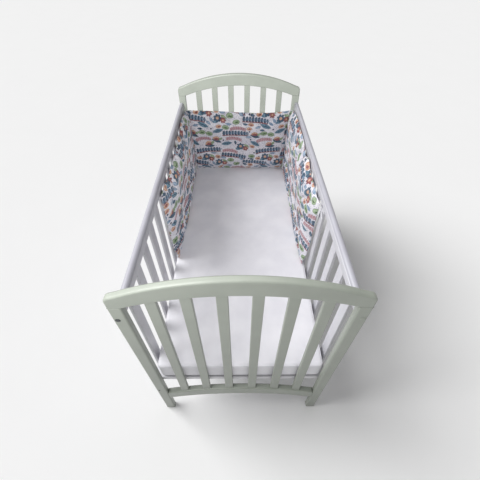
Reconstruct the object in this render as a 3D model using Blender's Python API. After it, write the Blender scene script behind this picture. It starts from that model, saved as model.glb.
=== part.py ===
"""A padded bumper standing round the head half of a wooden crib.

Metres, +Z up. The origin is on the floor under the crib's centre, +Y runs to the head end and +X to the
right as seen from the foot end. The crib is two arched ends and two slatted sides, all separate pieces,
with a base board and a mattress. The bumper is one long padded panel, sewn shut along its edges, that
stands on the mattress in a U and is held to the side slats by tape ties.
"""

import math
from collections import namedtuple

import bmesh
import bpy
import numpy as np
from mathutils import Vector

# ---------------------------------------------------------------- driving dimensions (metres)
WIDTH = 0.66  # over the legs
LENGTH = 1.25  # over the two ends
END_DEPTH = 0.021  # board thickness of an end frame
JOINT_GAP = 0.0003  # what touching pieces keep between them

# An end frame: the arcs are circles whose centres lie on the middle plane.
LEG_WIDTH = 0.037
LEG_TOP = 0.9047
TOP_ARC_RADIUS = 0.72
TOP_ARC_APEX = 1.0235
RAIL_ARC_RADIUS = 0.80  # underside of the top rail, and both edges of the bottom rail
TOP_UNDERSIDE_APEX = 0.961
TOP_CORNER_RADIUS = 0.020
BOTTOM_RAIL_APEX = 0.261
BOTTOM_UNDERSIDE_APEX = 0.203
ARC_STEPS = 30
END_SLATS = 6
END_SLAT_WIDTH = 0.030
END_SLAT_THICKNESS = 0.012
BOARD_ROUNDING = 0.0022  # softened edges of the boards
SLAT_ROUNDING = 0.0015

# A side: rail, slats, bottom rail.
SIDE_RAIL_WIDTH = 0.022
SIDE_RAIL_TOP = 0.8686
SIDE_RAIL_BOTTOM = 0.8236
SIDE_RAIL_GROOVE = 0.0008  # depth of the fine line under the rounded top
SIDE_RAIL_GROOVE_HEIGHT = 0.0022
SIDE_RAIL_ROUND_STEPS = 10
SIDE_LOW_RAIL_TOP = 0.310
SIDE_LOW_RAIL_BOTTOM = 0.262
SIDE_SLATS = 13
SIDE_SLAT_FIRST = -0.539  # centre of the slat nearest the foot end, along Y
SIDE_SLAT_PITCH = 0.0898
SIDE_SLAT_WIDTH = 0.040
SIDE_SLAT_THICKNESS = 0.010

# What the bumper stands on.
BASE_THICKNESS = 0.022
MATTRESS_WIDTH = 0.600
MATTRESS_LENGTH = 1.200
MATTRESS_HEIGHT = 0.100
MATTRESS_EDGE_RADIUS = 0.014

# The bumper. The path is the line of its back, which lies along the slats; the pad swells inward from it.
BUMPER_BACK_X = 0.3035  # from the crib's middle plane
BUMPER_BACK_Y = 0.6010
BUMPER_CORNER_RADIUS = 0.018
LEFT_END_Y = -0.134
RIGHT_END_Y = -0.168
PAD_THICKNESS = 0.031
SEAM_THICKNESS = 0.0030
END_FULLNESS = 0.016  # how far from an end seam the pad swells
CHANNEL_WIDTH = 0.028  # half width of the pinched channel at a head corner
CHANNEL_DEPTH = 0.60  # share of the thickness that the channel takes away
FOOT_SHIFT = 0.0150  # how far in the bottom seam stands, on the mattress's flat
FOOT_REACH = 0.16  # share of the height over which the back comes out to the slats
LOW_LEAN_AT, LOW_LEAN_REACH = 0.24, 0.22  # where up the panel its low part leans in, and how far it fades
HIGH_LEAN_AT, HIGH_LEAN_REACH = 0.72, 0.20
BACK_LEAN_SHARE = 0.5  # how much of a lean the back follows
MIDDLE_HEIGHT = 0.40  # usual height of the panel, which the creases' slopes are drawn at
RIPPLE_DEPTH = 0.0010
RIPPLE_ALONG = 61.0
RIPPLE_UP = 5.0
STRAIGHT_STEP = 0.020
CORNER_STEPS = 7
PAD_ROWS = 18
ROW_CROWDING = 0.12  # how close the rows stand at the two seams (0 closest, 0.5 even)

# The ties.
TIE_WIDTH = 0.011
TIE_THICKNESS = 0.0014
TIE_HEIGHT = 0.806  # middle of the loop round its slat
KNOT_SIZE = (0.0050, 0.0110, 0.0130)
TAIL_WIDTH_SHARE = 0.8  # of the tape's width, as the free ends curl
TAIL_SAG = 0.5  # of a free end's run
STUB_WIDTH_SHARE = 0.7
STUB_BITE = 0.0014  # how far short of the bumper's back line a stub ends

HALF_WIDTH = WIDTH / 2
HALF_LENGTH = LENGTH / 2
END_INNER_Y = HALF_LENGTH - END_DEPTH
LEG_INNER_X = HALF_WIDTH - LEG_WIDTH
SIDE_X = HALF_WIDTH - SIDE_RAIL_WIDTH / 2
SIDE_SLAT_X = 0.317  # middle of the side slats' thickness
BASE_BOTTOM = SIDE_LOW_RAIL_TOP + JOINT_GAP
BASE_TOP = BASE_BOTTOM + BASE_THICKNESS
MATTRESS_BOTTOM = BASE_TOP + JOINT_GAP
MATTRESS_TOP = MATTRESS_BOTTOM + MATTRESS_HEIGHT
BUMPER_BOTTOM = MATTRESS_TOP + JOINT_GAP

# The bumper's top edge: height of the seam along the path, from the left end to the right end.
# along is the distance walked from the left end as a share of that stretch.
TopPoint = namedtuple("TopPoint", "stretch along height")
TOP_EDGE = (
    TopPoint("left", 0.00, 0.832),
    TopPoint("left", 0.06, 0.830),
    TopPoint("left", 0.14, 0.824),
    TopPoint("left", 0.22, 0.813),
    TopPoint("left", 0.30, 0.820),
    TopPoint("left", 0.37, 0.815),
    TopPoint("left", 0.44, 0.822),
    TopPoint("left", 0.52, 0.814),
    TopPoint("left", 0.60, 0.838),
    TopPoint("left", 0.68, 0.818),
    TopPoint("left", 0.74, 0.842),
    TopPoint("left", 0.86, 0.843),
    TopPoint("left", 1.00, 0.829),
    TopPoint("head", 0.12, 0.824),
    TopPoint("head", 0.32, 0.820),
    TopPoint("head", 0.50, 0.813),
    TopPoint("head", 0.70, 0.809),
    TopPoint("head", 0.88, 0.813),
    TopPoint("right", 0.00, 0.829),
    TopPoint("right", 0.12, 0.852),
    TopPoint("right", 0.34, 0.856),
    TopPoint("right", 0.48, 0.850),
    TopPoint("right", 0.575, 0.826),
    TopPoint("right", 0.665, 0.848),
    TopPoint("right", 0.73, 0.824),
    TopPoint("right", 0.80, 0.823),
    TopPoint("right", 0.87, 0.822),
    TopPoint("right", 0.93, 0.818),
    TopPoint("right", 1.00, 0.828),
)

# The pad's form along the path: how far its low and high parts lean into the crib, and how full they
# are filled, as a share of the pad's thickness.
Form = namedtuple("Form", "stretch along lean_low lean_high fill_low fill_high")
FORMS = (
    Form("left", 0.00, 0.000, 0.000, 0.30, 0.45),
    Form("left", 0.12, 0.000, 0.001, 0.45, 0.75),
    Form("left", 0.26, 0.003, 0.003, 0.85, 0.95),
    Form("left", 0.45, 0.010, 0.003, 1.00, 1.00),
    Form("left", 0.72, 0.009, 0.001, 1.00, 0.90),
    Form("left", 1.00, 0.001, 0.000, 0.95, 0.85),
    Form("head", 0.50, 0.003, 0.001, 1.00, 0.90),
    Form("right", 0.00, 0.000, 0.000, 0.85, 0.85),
    Form("right", 0.30, 0.001, 0.001, 0.80, 0.85),
    Form("right", 0.60, 0.002, 0.002, 0.82, 1.00),
    Form("right", 0.82, 0.001, 0.004, 0.72, 1.00),
    Form("right", 0.93, 0.000, 0.003, 0.55, 0.85),
    Form("right", 1.00, 0.000, 0.000, 0.40, 0.60),
)

# The main creases on the face that looks into the crib. A crease is a soft trough (or, with a negative
# depth, a ridge) whose middle line runs from one place to another: along is metres walked from the left
# end, up is the share of the height, and width is its half width in metres.
Crease = namedtuple("Crease", "along_a up_a along_b up_b width depth")
CREASES = (
    Crease(0.68, 0.92, 0.34, 0.44, 0.017, 0.0065),
    Crease(0.68, 0.66, 0.28, 0.26, 0.016, 0.0060),
    Crease(0.52, 0.88, 0.18, 0.62, 0.016, 0.0042),
    Crease(0.32, 0.50, 0.03, 0.20, 0.016, 0.0055),
    Crease(0.24, 0.34, 0.02, 0.10, 0.015, 0.0050),
    Crease(0.14, 0.90, 0.02, 0.62, 0.015, 0.0036),
    Crease(0.78, 0.82, 0.95, 0.93, 0.015, 0.0036),
    Crease(0.80, 0.36, 1.04, 0.24, 0.017, 0.0040),
    Crease(1.06, 0.82, 1.23, 0.92, 0.015, 0.0034),
    Crease(1.08, 0.42, 1.24, 0.28, 0.016, 0.0038),
    Crease(1.34, 0.80, 1.56, 0.56, 0.016, 0.0050),
    Crease(1.35, 0.36, 1.72, 0.19, 0.015, 0.0062),
    Crease(1.42, 0.20, 1.88, 0.10, 0.013, 0.0050),
    Crease(1.745, 0.99, 1.68, 0.70, 0.014, 0.0066),
    Crease(1.755, 0.99, 1.81, 0.68, 0.014, 0.0060),
    Crease(2.01, 0.96, 1.90, 0.58, 0.015, 0.0058),
    Crease(2.00, 0.52, 1.83, 0.24, 0.016, 0.0064),
    Crease(2.01, 0.34, 1.88, 0.12, 0.015, 0.0056),
)

# The ties: side is -1 on the left and 1 on the right; slat counts from the foot end, the first being 0;
# knot_y is the knot's place along Y; edge_y and edge_z are where the tape leaves the pad's edge seam. Each
# tail is one free end: how far it runs along Y, how much it drops (negative) and how far out it goes.
Tie = namedtuple("Tie", "name side slat knot_y edge_y edge_z tails")
Tail = namedtuple("Tail", "run drop out")
TIES = (
    Tie("tie_right_end", 1, 4, -0.1760, -0.1690, 0.828,
        (Tail(-0.034, -0.020, -0.004), Tail(0.006, -0.052, -0.003))),
    Tie("tie_right_middle", 1, 7, 0.0760, 0.0800, 0.822,
        (Tail(-0.018, -0.006, 0.0), Tail(0.018, -0.007, 0.0))),
    Tie("tie_left_end", -1, 5, -0.1000, -0.1240, 0.822,
        (Tail(-0.030, -0.034, 0.0), Tail(-0.008, -0.056, 0.0))),
)


# ---------------------------------------------------------------- materials and small helpers
def material(name, colour, roughness, metallic=0.0):
    """One finish: a Principled BSDF with a base colour (linear), roughness and metallic value."""
    made = bpy.data.materials.new(name)
    made.use_nodes = True
    shader = made.node_tree.nodes["Principled BSDF"]
    shader.inputs["Base Color"].default_value = (*colour, 1.0)
    shader.inputs["Roughness"].default_value = roughness
    shader.inputs["Metallic"].default_value = metallic
    return made


def add_object(name, mesh, finish, smooth=True):
    """Links a mesh as one named sub-part."""
    mesh.materials.append(finish)
    if smooth:
        mesh.shade_smooth()
        mesh.set_sharp_from_angle(angle=math.radians(35))
    made = bpy.data.objects.new(name, mesh)
    bpy.context.scene.collection.objects.link(made)
    return made


def mesh_of(bm, name):
    """Turns a bmesh into a mesh with its faces pointing out, and frees it."""
    bmesh.ops.recalc_face_normals(bm, faces=bm.faces)
    mesh = bpy.data.meshes.new(name)
    bm.to_mesh(mesh)
    bm.free()
    return mesh


def prism(name, outline, start, thickness, axis, rounding, finish):
    """A board: an outline in a plane, extruded along an axis, with its edges softened.

    outline holds (across, up) pairs. axis is "x" or "y", the direction of the thickness, and start is
    where the thickness begins. Only the edges that run round the outline are softened.
    """
    bm = bmesh.new()
    place = {"y": lambda a, z: (a, start, z), "x": lambda a, z: (start, a, z)}[axis]
    along = Vector((0, thickness, 0)) if axis == "y" else Vector((thickness, 0, 0))
    near = bm.faces.new([bm.verts.new(place(a, z)) for a, z in outline])
    grown = bmesh.ops.extrude_face_region(bm, geom=[near])["geom"]
    moved = [v for v in grown if isinstance(v, bmesh.types.BMVert)]
    bmesh.ops.translate(bm, verts=moved, vec=along)
    flat = [e for e in bm.edges if abs((e.verts[0].co - e.verts[1].co).dot(along)) < 1e-9]
    bmesh.ops.bevel(bm, geom=flat, offset=rounding, segments=1, affect="EDGES")
    return add_object(name, mesh_of(bm, name), finish)


def box_piece(name, low, high, rounding, finish):
    """A squared piece between two corners, with all its edges softened."""
    bm = bmesh.new()
    bmesh.ops.create_cube(bm, size=1.0)
    low, high = Vector(low), Vector(high)
    for v in bm.verts:
        v.co = Vector(low[i] + (v.co[i] + 0.5) * (high[i] - low[i]) for i in range(3))
    bmesh.ops.bevel(bm, geom=list(bm.edges), offset=rounding, segments=1, affect="EDGES")
    return add_object(name, mesh_of(bm, name), finish)


def arc_height(x, apex, radius):
    """Height at x of a circle whose top is at apex over the middle plane."""
    return apex - radius + math.sqrt(radius * radius - x * x)


def arc_points(apex, radius, start, end):
    """Points along such an arc, from x = start to x = end."""
    steps = [start + (end - start) * i / ARC_STEPS for i in range(ARC_STEPS + 1)]
    return [(x, arc_height(x, apex, radius)) for x in steps]


def corner_points(x_edge, side, rounds=4):
    """The rounded upper corner of the arched rail, from its upright edge round to the arc."""
    across = x_edge - TOP_CORNER_RADIUS
    centre_z = arc_height(across, TOP_ARC_APEX, TOP_ARC_RADIUS) - TOP_CORNER_RADIUS
    points = []
    for i in range(rounds + 1):
        angle = math.radians(80) * i / rounds
        x = across + TOP_CORNER_RADIUS * math.cos(angle)
        points.append((side * x, centre_z + TOP_CORNER_RADIUS * math.sin(angle)))
    return points


# ---------------------------------------------------------------- the crib's two ends
def top_rail_outline():
    """The arched top rail: a wide arc above, a flatter arc below, and flat seats for the two legs."""
    inner = LEG_INNER_X
    seat = LEG_TOP + JOINT_GAP
    under = arc_points(TOP_UNDERSIDE_APEX, RAIL_ARC_RADIUS, -inner, inner)
    above = arc_points(TOP_ARC_APEX, TOP_ARC_RADIUS, HALF_WIDTH - TOP_CORNER_RADIUS,
                       TOP_CORNER_RADIUS - HALF_WIDTH)
    right_corner = corner_points(HALF_WIDTH, 1)
    left_corner = corner_points(HALF_WIDTH, -1)[::-1]
    left_seat, right_seat = (-HALF_WIDTH, seat), (HALF_WIDTH, seat)
    return [left_seat, *under, right_seat, *right_corner, *above[1:-1], *left_corner]


def bottom_rail_outline():
    """The arched bottom rail, fitted between the legs."""
    inner = LEG_INNER_X - JOINT_GAP
    under = arc_points(BOTTOM_UNDERSIDE_APEX, RAIL_ARC_RADIUS, -inner, inner)
    above = arc_points(BOTTOM_RAIL_APEX, RAIL_ARC_RADIUS, inner, -inner)
    return [*under, *above]


def end_slat_outline(centre):
    """A slat whose ends follow the two rails' arcs."""
    sides = (centre - END_SLAT_WIDTH / 2, centre + END_SLAT_WIDTH / 2)
    low = [(x, arc_height(x, BOTTOM_RAIL_APEX, RAIL_ARC_RADIUS) + JOINT_GAP) for x in sides]
    high = [(x, arc_height(x, TOP_UNDERSIDE_APEX, RAIL_ARC_RADIUS) - JOINT_GAP) for x in sides]
    return [*low, high[1], high[0]]


def build_end(name, start_y, finish):
    """One end of the crib: legs, arched rails and slats, all in a board's depth from start_y."""
    prism(f"{name}_top_rail", top_rail_outline(), start_y, END_DEPTH, "y", BOARD_ROUNDING, finish)
    prism(f"{name}_bottom_rail", bottom_rail_outline(), start_y, END_DEPTH, "y", BOARD_ROUNDING, finish)
    for side, word in ((-1, "left"), (1, "right")):
        edges = sorted((side * HALF_WIDTH, side * LEG_INNER_X))
        box_piece(f"{name}_leg_{word}", (edges[0], start_y, 0.0),
                  (edges[1], start_y + END_DEPTH, LEG_TOP), BOARD_ROUNDING, finish)
    pitch = (2 * LEG_INNER_X + END_SLAT_WIDTH) / (END_SLATS + 1)
    inset = (END_DEPTH - END_SLAT_THICKNESS) / 2
    for i in range(END_SLATS):
        centre = (i - (END_SLATS - 1) / 2) * pitch
        prism(f"{name}_slat_{i + 1}", end_slat_outline(centre), start_y + inset,
              END_SLAT_THICKNESS, "y", SLAT_ROUNDING, finish)


# ---------------------------------------------------------------- the crib's two sides
def side_rail_profile():
    """(across, up) points of the side's top rail: a flat body, a fine groove, a half-round top."""
    half = SIDE_RAIL_WIDTH / 2
    spring = SIDE_RAIL_TOP - half  # where the rounding starts
    groove = spring - SIDE_RAIL_GROOVE_HEIGHT / 2
    low = SIDE_RAIL_BOTTOM
    points = [(-half + BOARD_ROUNDING, low), (half - BOARD_ROUNDING, low), (half, low + BOARD_ROUNDING)]
    points += [(half, spring - SIDE_RAIL_GROOVE_HEIGHT), (half - SIDE_RAIL_GROOVE, groove)]
    for i in range(SIDE_RAIL_ROUND_STEPS + 1):
        angle = math.pi * i / SIDE_RAIL_ROUND_STEPS
        points.append((half * math.cos(angle), spring + half * math.sin(angle)))
    points += [(SIDE_RAIL_GROOVE - half, groove), (-half, spring - SIDE_RAIL_GROOVE_HEIGHT)]
    points.append((-half, low + BOARD_ROUNDING))
    return points


def bar_along_y(name, centre_x, profile, finish):
    """A profile in the XZ plane carried along Y from one end frame to the other."""
    bm = bmesh.new()
    reach = END_INNER_Y - JOINT_GAP
    near = bm.faces.new([bm.verts.new((centre_x + x, -reach, z)) for x, z in profile])
    grown = bmesh.ops.extrude_face_region(bm, geom=[near])["geom"]
    moved = [v for v in grown if isinstance(v, bmesh.types.BMVert)]
    bmesh.ops.translate(bm, verts=moved, vec=(0, 2 * reach, 0))
    return add_object(name, mesh_of(bm, name), finish)


def build_side(name, side, finish):
    """One side of the crib: top rail, bottom rail and slats between them."""
    bar_along_y(f"{name}_top_rail", side * SIDE_X, side_rail_profile(), finish)
    half = SIDE_RAIL_WIDTH / 2
    reach = END_INNER_Y - JOINT_GAP
    box_piece(f"{name}_bottom_rail", (side * SIDE_X - half, -reach, SIDE_LOW_RAIL_BOTTOM),
              (side * SIDE_X + half, reach, SIDE_LOW_RAIL_TOP), BOARD_ROUNDING, finish)
    low, high = SIDE_LOW_RAIL_TOP + JOINT_GAP, SIDE_RAIL_BOTTOM - JOINT_GAP
    thick = SIDE_SLAT_THICKNESS / 2
    for i in range(SIDE_SLATS):
        y = SIDE_SLAT_FIRST + i * SIDE_SLAT_PITCH
        box_piece(f"{name}_slat_{i + 1:02d}",
                  (side * SIDE_SLAT_X - thick, y - SIDE_SLAT_WIDTH / 2, low),
                  (side * SIDE_SLAT_X + thick, y + SIDE_SLAT_WIDTH / 2, high), SLAT_ROUNDING, finish)


# ---------------------------------------------------------------- base and mattress
def build_mattress(finish):
    """A foam mattress: a flat-topped block with rounded edges and corners."""
    bm = bmesh.new()
    bmesh.ops.create_cube(bm, size=1.0)
    middle = (MATTRESS_BOTTOM + MATTRESS_TOP) / 2
    for v in bm.verts:
        v.co.x *= MATTRESS_WIDTH
        v.co.y *= MATTRESS_LENGTH
        v.co.z = middle + v.co.z * MATTRESS_HEIGHT
    bmesh.ops.bevel(bm, geom=list(bm.edges), offset=MATTRESS_EDGE_RADIUS, segments=3, affect="EDGES")
    bmesh.ops.subdivide_edges(bm, edges=[e for e in bm.edges if e.calc_length() > 0.3], cuts=7,
                              use_grid_fill=True)
    add_object("mattress", mesh_of(bm, "mattress"), finish)


# ---------------------------------------------------------------- the bumper
def smooth_table(keys, values, at):
    """A smooth curve through a table's rows, as a cubic Hermite with the rows' own slopes."""
    slopes = np.gradient(values, keys)
    i = np.clip(np.searchsorted(keys, at) - 1, 0, len(keys) - 2)
    step = keys[i + 1] - keys[i]
    t = (at - keys[i]) / step
    return ((1 + 2 * t) * (1 - t) ** 2 * values[i] + t * (1 - t) ** 2 * step * slopes[i]
            + t * t * (3 - 2 * t) * values[i + 1] + t * t * (t - 1) * step * slopes[i + 1])


class BumperPath:
    """The U that the bumper follows: left side, corner, head, corner, right side."""

    def __init__(self):
        r = BUMPER_CORNER_RADIUS
        self.turn = math.pi / 2 * r
        self.left = BUMPER_BACK_Y - r - LEFT_END_Y
        self.head = 2 * (BUMPER_BACK_X - r)
        self.right = BUMPER_BACK_Y - r - RIGHT_END_Y
        self.starts = {"left": 0.0, "head": self.left + self.turn,
                       "right": self.left + 2 * self.turn + self.head}
        self.lengths = {"left": self.left, "head": self.head, "right": self.right}
        self.total = self.starts["right"] + self.right
        self.corners = (self.left + self.turn / 2, self.starts["right"] - self.turn / 2)

    def walked(self, stretch, along):
        """Metres from the left end of a place given as a share of a stretch."""
        return self.starts[stretch] + along * self.lengths[stretch]

    def stations(self):
        """Where the cross-sections stand: even steps on the straights, closer ones at ends and corners."""
        marks = [0.0, 0.004, 0.010]
        for stretch in ("left", "head", "right"):
            first, length = self.starts[stretch], self.lengths[stretch]
            count = max(2, round(length / STRAIGHT_STEP))
            marks += [first + length * i / count for i in range(count + 1)]
            if stretch != "right":
                end = first + length
                marks += [end + self.turn * i / CORNER_STEPS for i in range(1, CORNER_STEPS)]
        marks += [self.total - 0.010, self.total - 0.004]
        marks = np.array(sorted(set(round(m, 6) for m in marks)))
        return marks[np.concatenate([[True], np.diff(marks) > 0.003])]

    def place(self, s):
        """Point on the line and the direction into the crib, for each distance walked."""
        r, cx = BUMPER_CORNER_RADIUS, BUMPER_BACK_X - BUMPER_CORNER_RADIUS
        cy = BUMPER_BACK_Y - r
        turn_a = np.clip((s - self.left) / self.turn, 0, 1) * math.pi / 2
        turn_b = np.clip((s - self.starts["right"] + self.turn) / self.turn, 0, 1) * math.pi / 2
        angle = turn_a + turn_b  # 0 on the left, a quarter turn on the head, a half turn on the right
        inward = np.stack([np.cos(angle), -np.sin(angle)], axis=1)
        on_left = np.minimum(s, self.left)
        on_head = np.clip(s - self.starts["head"], 0, self.head)
        on_right = np.maximum(s - self.starts["right"], 0)
        centre_x = -cx + on_head
        centre_y = np.where(s < self.starts["head"], LEFT_END_Y + on_left, cy - on_right)
        centre_y = np.minimum(centre_y, cy)
        line = np.stack([centre_x - r * inward[:, 0], centre_y - r * inward[:, 1]], axis=1)
        return line, inward


def crease_depth(s, up, height):
    """Depth of the creases at a place: each is a soft trough along the line between its two ends."""
    total = np.zeros(np.broadcast(s, up).shape)
    for row in CREASES:
        ax, az = row.along_a, row.up_a * height
        bx, bz = row.along_b, row.up_b * height
        dx, dz = bx - ax, bz - az
        length = math.hypot(dx, dz)
        t = ((s - ax) * dx + (up * height - az) * dz) / length ** 2
        off = np.abs((s - ax) * dz - (up * height - az) * dx) / length
        fade = np.clip(1.0 - np.abs(2 * np.clip(t, -0.2, 1.2) - 1) ** 3, 0, 1)
        total += row.depth * fade * np.exp(-(off / row.width) ** 2)
    return total


def build_bumper(finish):
    """The padded panel: at each station a closed section of two faces that meet at the edge seams.

    The back runs up the slats, its foot stepped in onto the mattress. The front swells from it by the
    thickness, which is crowned between the bottom and top seams, falls away at the two ends and is
    pinched at the two head corners.
    """
    path = BumperPath()
    s = path.stations()
    line, inward = path.place(s)

    keys = np.array([path.walked(p.stretch, p.along) for p in TOP_EDGE])
    top = smooth_table(keys, np.array([p.height for p in TOP_EDGE]), s)
    keys = np.array([path.walked(p.stretch, p.along) for p in FORMS])
    lean_low, lean_high, fill_low, fill_high = (
        smooth_table(keys, np.array([getattr(p, column) for p in FORMS]), s)[:, None]
        for column in ("lean_low", "lean_high", "fill_low", "fill_high"))

    # Rows are closer together near the two seams, where the section turns.
    up = -np.cos(np.linspace(ROW_CROWDING, 1 - ROW_CROWDING, PAD_ROWS) * math.pi)
    up = ((up - up[0]) / (up[-1] - up[0]))[None, :]
    z = BUMPER_BOTTOM + up * (top - BUMPER_BOTTOM)[:, None]

    from_end = np.maximum(np.minimum(s, path.total - s), 0)
    ends = 1 - np.exp(-((from_end / END_FULLNESS) ** 1.3))
    nearest = np.min(np.abs(s[:, None] - np.array(path.corners)[None, :]), axis=1)
    channel = 1 - CHANNEL_DEPTH * np.exp(-((nearest / CHANNEL_WIDTH) ** 2))
    crown = np.sqrt(np.clip(1 - np.abs(2 * up - 1) ** 4, 0, 1))
    share = fill_low + (fill_high - fill_low) * up
    swell = (ends * channel)[:, None] * crown * share
    lean = (lean_low * np.exp(-((up - LOW_LEAN_AT) / LOW_LEAN_REACH) ** 2)
            + lean_high * np.exp(-((up - HIGH_LEAN_AT) / HIGH_LEAN_REACH) ** 2)) * channel[:, None]

    thickness = SEAM_THICKNESS + (PAD_THICKNESS - SEAM_THICKNESS) * swell
    foot = FOOT_SHIFT * np.exp(-((up / FOOT_REACH) ** 2)) * channel[:, None]
    back = foot + BACK_LEAN_SHARE * lean
    creases = crease_depth(s[:, None], up, MIDDLE_HEIGHT)
    ripple = RIPPLE_DEPTH * np.sin(s[:, None] * RIPPLE_ALONG + up * RIPPLE_UP)
    front = back + thickness + (1 - BACK_LEAN_SHARE) * lean + (ripple - creases) * swell
    front = np.maximum(front, back + SEAM_THICKNESS)

    def points(offset):
        xy = line[:, None, :] + inward[:, None, :] * offset[:, :, None]
        return np.concatenate([xy, z[:, :, None]], axis=2)

    ring = np.concatenate([points(front), points(back)[:, ::-1]], axis=1)
    around = ring.shape[1]
    bm = bmesh.new()
    grid = [[bm.verts.new(p) for p in row] for row in ring.tolist()]
    for near, far in zip(grid, grid[1:]):
        for j in range(around):
            k = (j + 1) % around
            bm.faces.new((near[j], near[k], far[k], far[j]))
    for row in (grid[0], grid[-1]):
        for j in range(PAD_ROWS - 1):
            bm.faces.new((row[j], row[j + 1], row[around - 2 - j], row[around - 1 - j]))
    add_object("bumper", mesh_of(bm, "bumper"), finish)


# ---------------------------------------------------------------- the ties
def strip(bm, points, width, thickness, across):
    """A flat tape along a list of points: a box section of width along across, closed at both ends."""
    across = Vector(across).normalized()
    rings = []
    for i, p in enumerate(points):
        way = (points[min(i + 1, len(points) - 1)] - points[max(i - 1, 0)]).normalized()
        thick = way.cross(across).normalized() * thickness / 2
        wide = across * width / 2
        rings.append([bm.verts.new(p + a * wide + b * thick)
                      for a, b in ((-1, -1), (1, -1), (1, 1), (-1, 1))])
    for near, far in zip(rings, rings[1:]):
        for j in range(4):
            k = (j + 1) % 4
            bm.faces.new((near[j], near[k], far[k], far[j]))
    bm.faces.new(rings[0])
    bm.faces.new(rings[-1][::-1])


def helper(name, bm):
    """A shape that only serves a Boolean."""
    made = bpy.data.objects.new(name, mesh_of(bm, name))
    bpy.context.scene.collection.objects.link(made)
    made.hide_render = True
    made.display_type = "WIRE"
    return made


def loop_mesh(low, high):
    """A tape loop round a slat: a squared ring, as wide as the tape, with an upright hole."""
    bm = bmesh.new()
    t = TIE_THICKNESS
    inner = [(low[0], low[1]), (high[0], low[1]), (high[0], high[1]), (low[0], high[1])]
    outer = [(low[0] - t, low[1] - t), (high[0] + t, low[1] - t),
             (high[0] + t, high[1] + t), (low[0] - t, high[1] + t)]
    z0, z1 = TIE_HEIGHT - TIE_WIDTH / 2, TIE_HEIGHT + TIE_WIDTH / 2
    rings = [[bm.verts.new((x, y, z)) for x, y in loop]
             for loop, z in ((outer, z0), (outer, z1), (inner, z1), (inner, z0))]
    for a, b in zip(rings, rings[1:] + rings[:1]):
        for j in range(4):
            k = (j + 1) % 4
            bm.faces.new((a[j], a[k], b[k], b[j]))
    return bm


def build_tie(row, finish):
    """A tape tie: a loop round its slat, a knot on the crib's side, a stub to the pad and two free ends."""
    slat_y = SIDE_SLAT_FIRST + row.slat * SIDE_SLAT_PITCH
    thick = SIDE_SLAT_THICKNESS / 2 + JOINT_GAP
    wide = SIDE_SLAT_WIDTH / 2 + JOINT_GAP
    x = row.side * SIDE_SLAT_X
    base = add_object(row.name, mesh_of(loop_mesh((x - thick, slat_y - wide), (x + thick, slat_y + wide)),
                                        row.name), finish, smooth=False)
    knot = Vector((x - row.side * (thick + KNOT_SIZE[0] / 2), row.knot_y, TIE_HEIGHT))

    parts = []
    bm = bmesh.new()
    bmesh.ops.create_uvsphere(bm, u_segments=10, v_segments=7, radius=0.5)
    for v in bm.verts:
        v.co = knot + Vector((v.co.x * KNOT_SIZE[0], v.co.y * KNOT_SIZE[1], v.co.z * KNOT_SIZE[2]))
    parts.append(helper(f"{row.name}_knot_shape", bm))
    for i, tail in enumerate(row.tails):
        bm = bmesh.new()
        run = Vector((row.side * tail.out, tail.run, tail.drop))
        sag = Vector((0, 0, -TAIL_SAG * abs(tail.run)))
        points = [knot + run * t + sag * t * (1 - t) for t in (0.0, 0.3, 0.6, 0.85, 1.0)]
        strip(bm, points, TIE_WIDTH * TAIL_WIDTH_SHARE, TIE_THICKNESS, (0, -tail.drop, tail.run))
        parts.append(helper(f"{row.name}_tail_{i + 1}", bm))
    bm = bmesh.new()
    stub = Vector((row.side * (BUMPER_BACK_X + STUB_BITE), row.edge_y, row.edge_z))
    strip(bm, [knot, (knot + stub) / 2, stub], TIE_WIDTH * STUB_WIDTH_SHARE, TIE_THICKNESS, (0, 1, 0.3))
    parts.append(helper(f"{row.name}_stub", bm))

    for part in parts:
        union = base.modifiers.new(f"join_{part.name}", "BOOLEAN")
        union.operation = "UNION"
        union.object = part


# ---------------------------------------------------------------- the whole
def main():
    """Clears the scene and builds every sub-part."""
    for old in list(bpy.data.objects):
        bpy.data.objects.remove(old)
    painted = material("painted_sage", (0.47, 0.52, 0.46), 0.45)
    white = material("painted_white", (0.80, 0.80, 0.83), 0.40)
    board = material("base_board", (0.70, 0.70, 0.74), 0.50)
    cover = material("mattress_cover", (0.82, 0.82, 0.84), 0.85)
    cotton = material("printed_cotton", (0.72, 0.72, 0.78), 0.90)
    tape = material("tie_tape", (0.84, 0.84, 0.86), 0.85)

    build_end("foot", -HALF_LENGTH, painted)
    build_end("head", END_INNER_Y, painted)
    build_side("left", -1, white)
    build_side("right", 1, white)
    half_base = SIDE_SLAT_X - SIDE_SLAT_THICKNESS / 2 - JOINT_GAP
    reach = END_INNER_Y - JOINT_GAP
    box_piece("base_board", (-half_base, -reach, BASE_BOTTOM), (half_base, reach, BASE_TOP),
              BOARD_ROUNDING, board)
    build_mattress(cover)
    build_bumper(cotton)
    for row in TIES:
        build_tie(row, tape)


main()
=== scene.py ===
"""Looks of a padded crib bumper that stands round the head half of a slatted wooden crib.

Metres, +Z up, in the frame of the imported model: the origin is on the floor under the crib's middle, +Y runs
to the head end and +X to the right as seen from the foot end. The crib's boards get rounded edges and
lacquer, the mattress its cover, and the bumper is a padded panel of printed cotton whose form is worked out
on a grid and then filled by cloth simulation. Three tape ties hold it to the side slats.
"""

from __future__ import annotations

import logging
import math
from collections.abc import Sequence
from dataclasses import dataclass
from enum import Enum

import bmesh
import bpy
import numpy as np
from mathutils import Matrix, Vector


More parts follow.
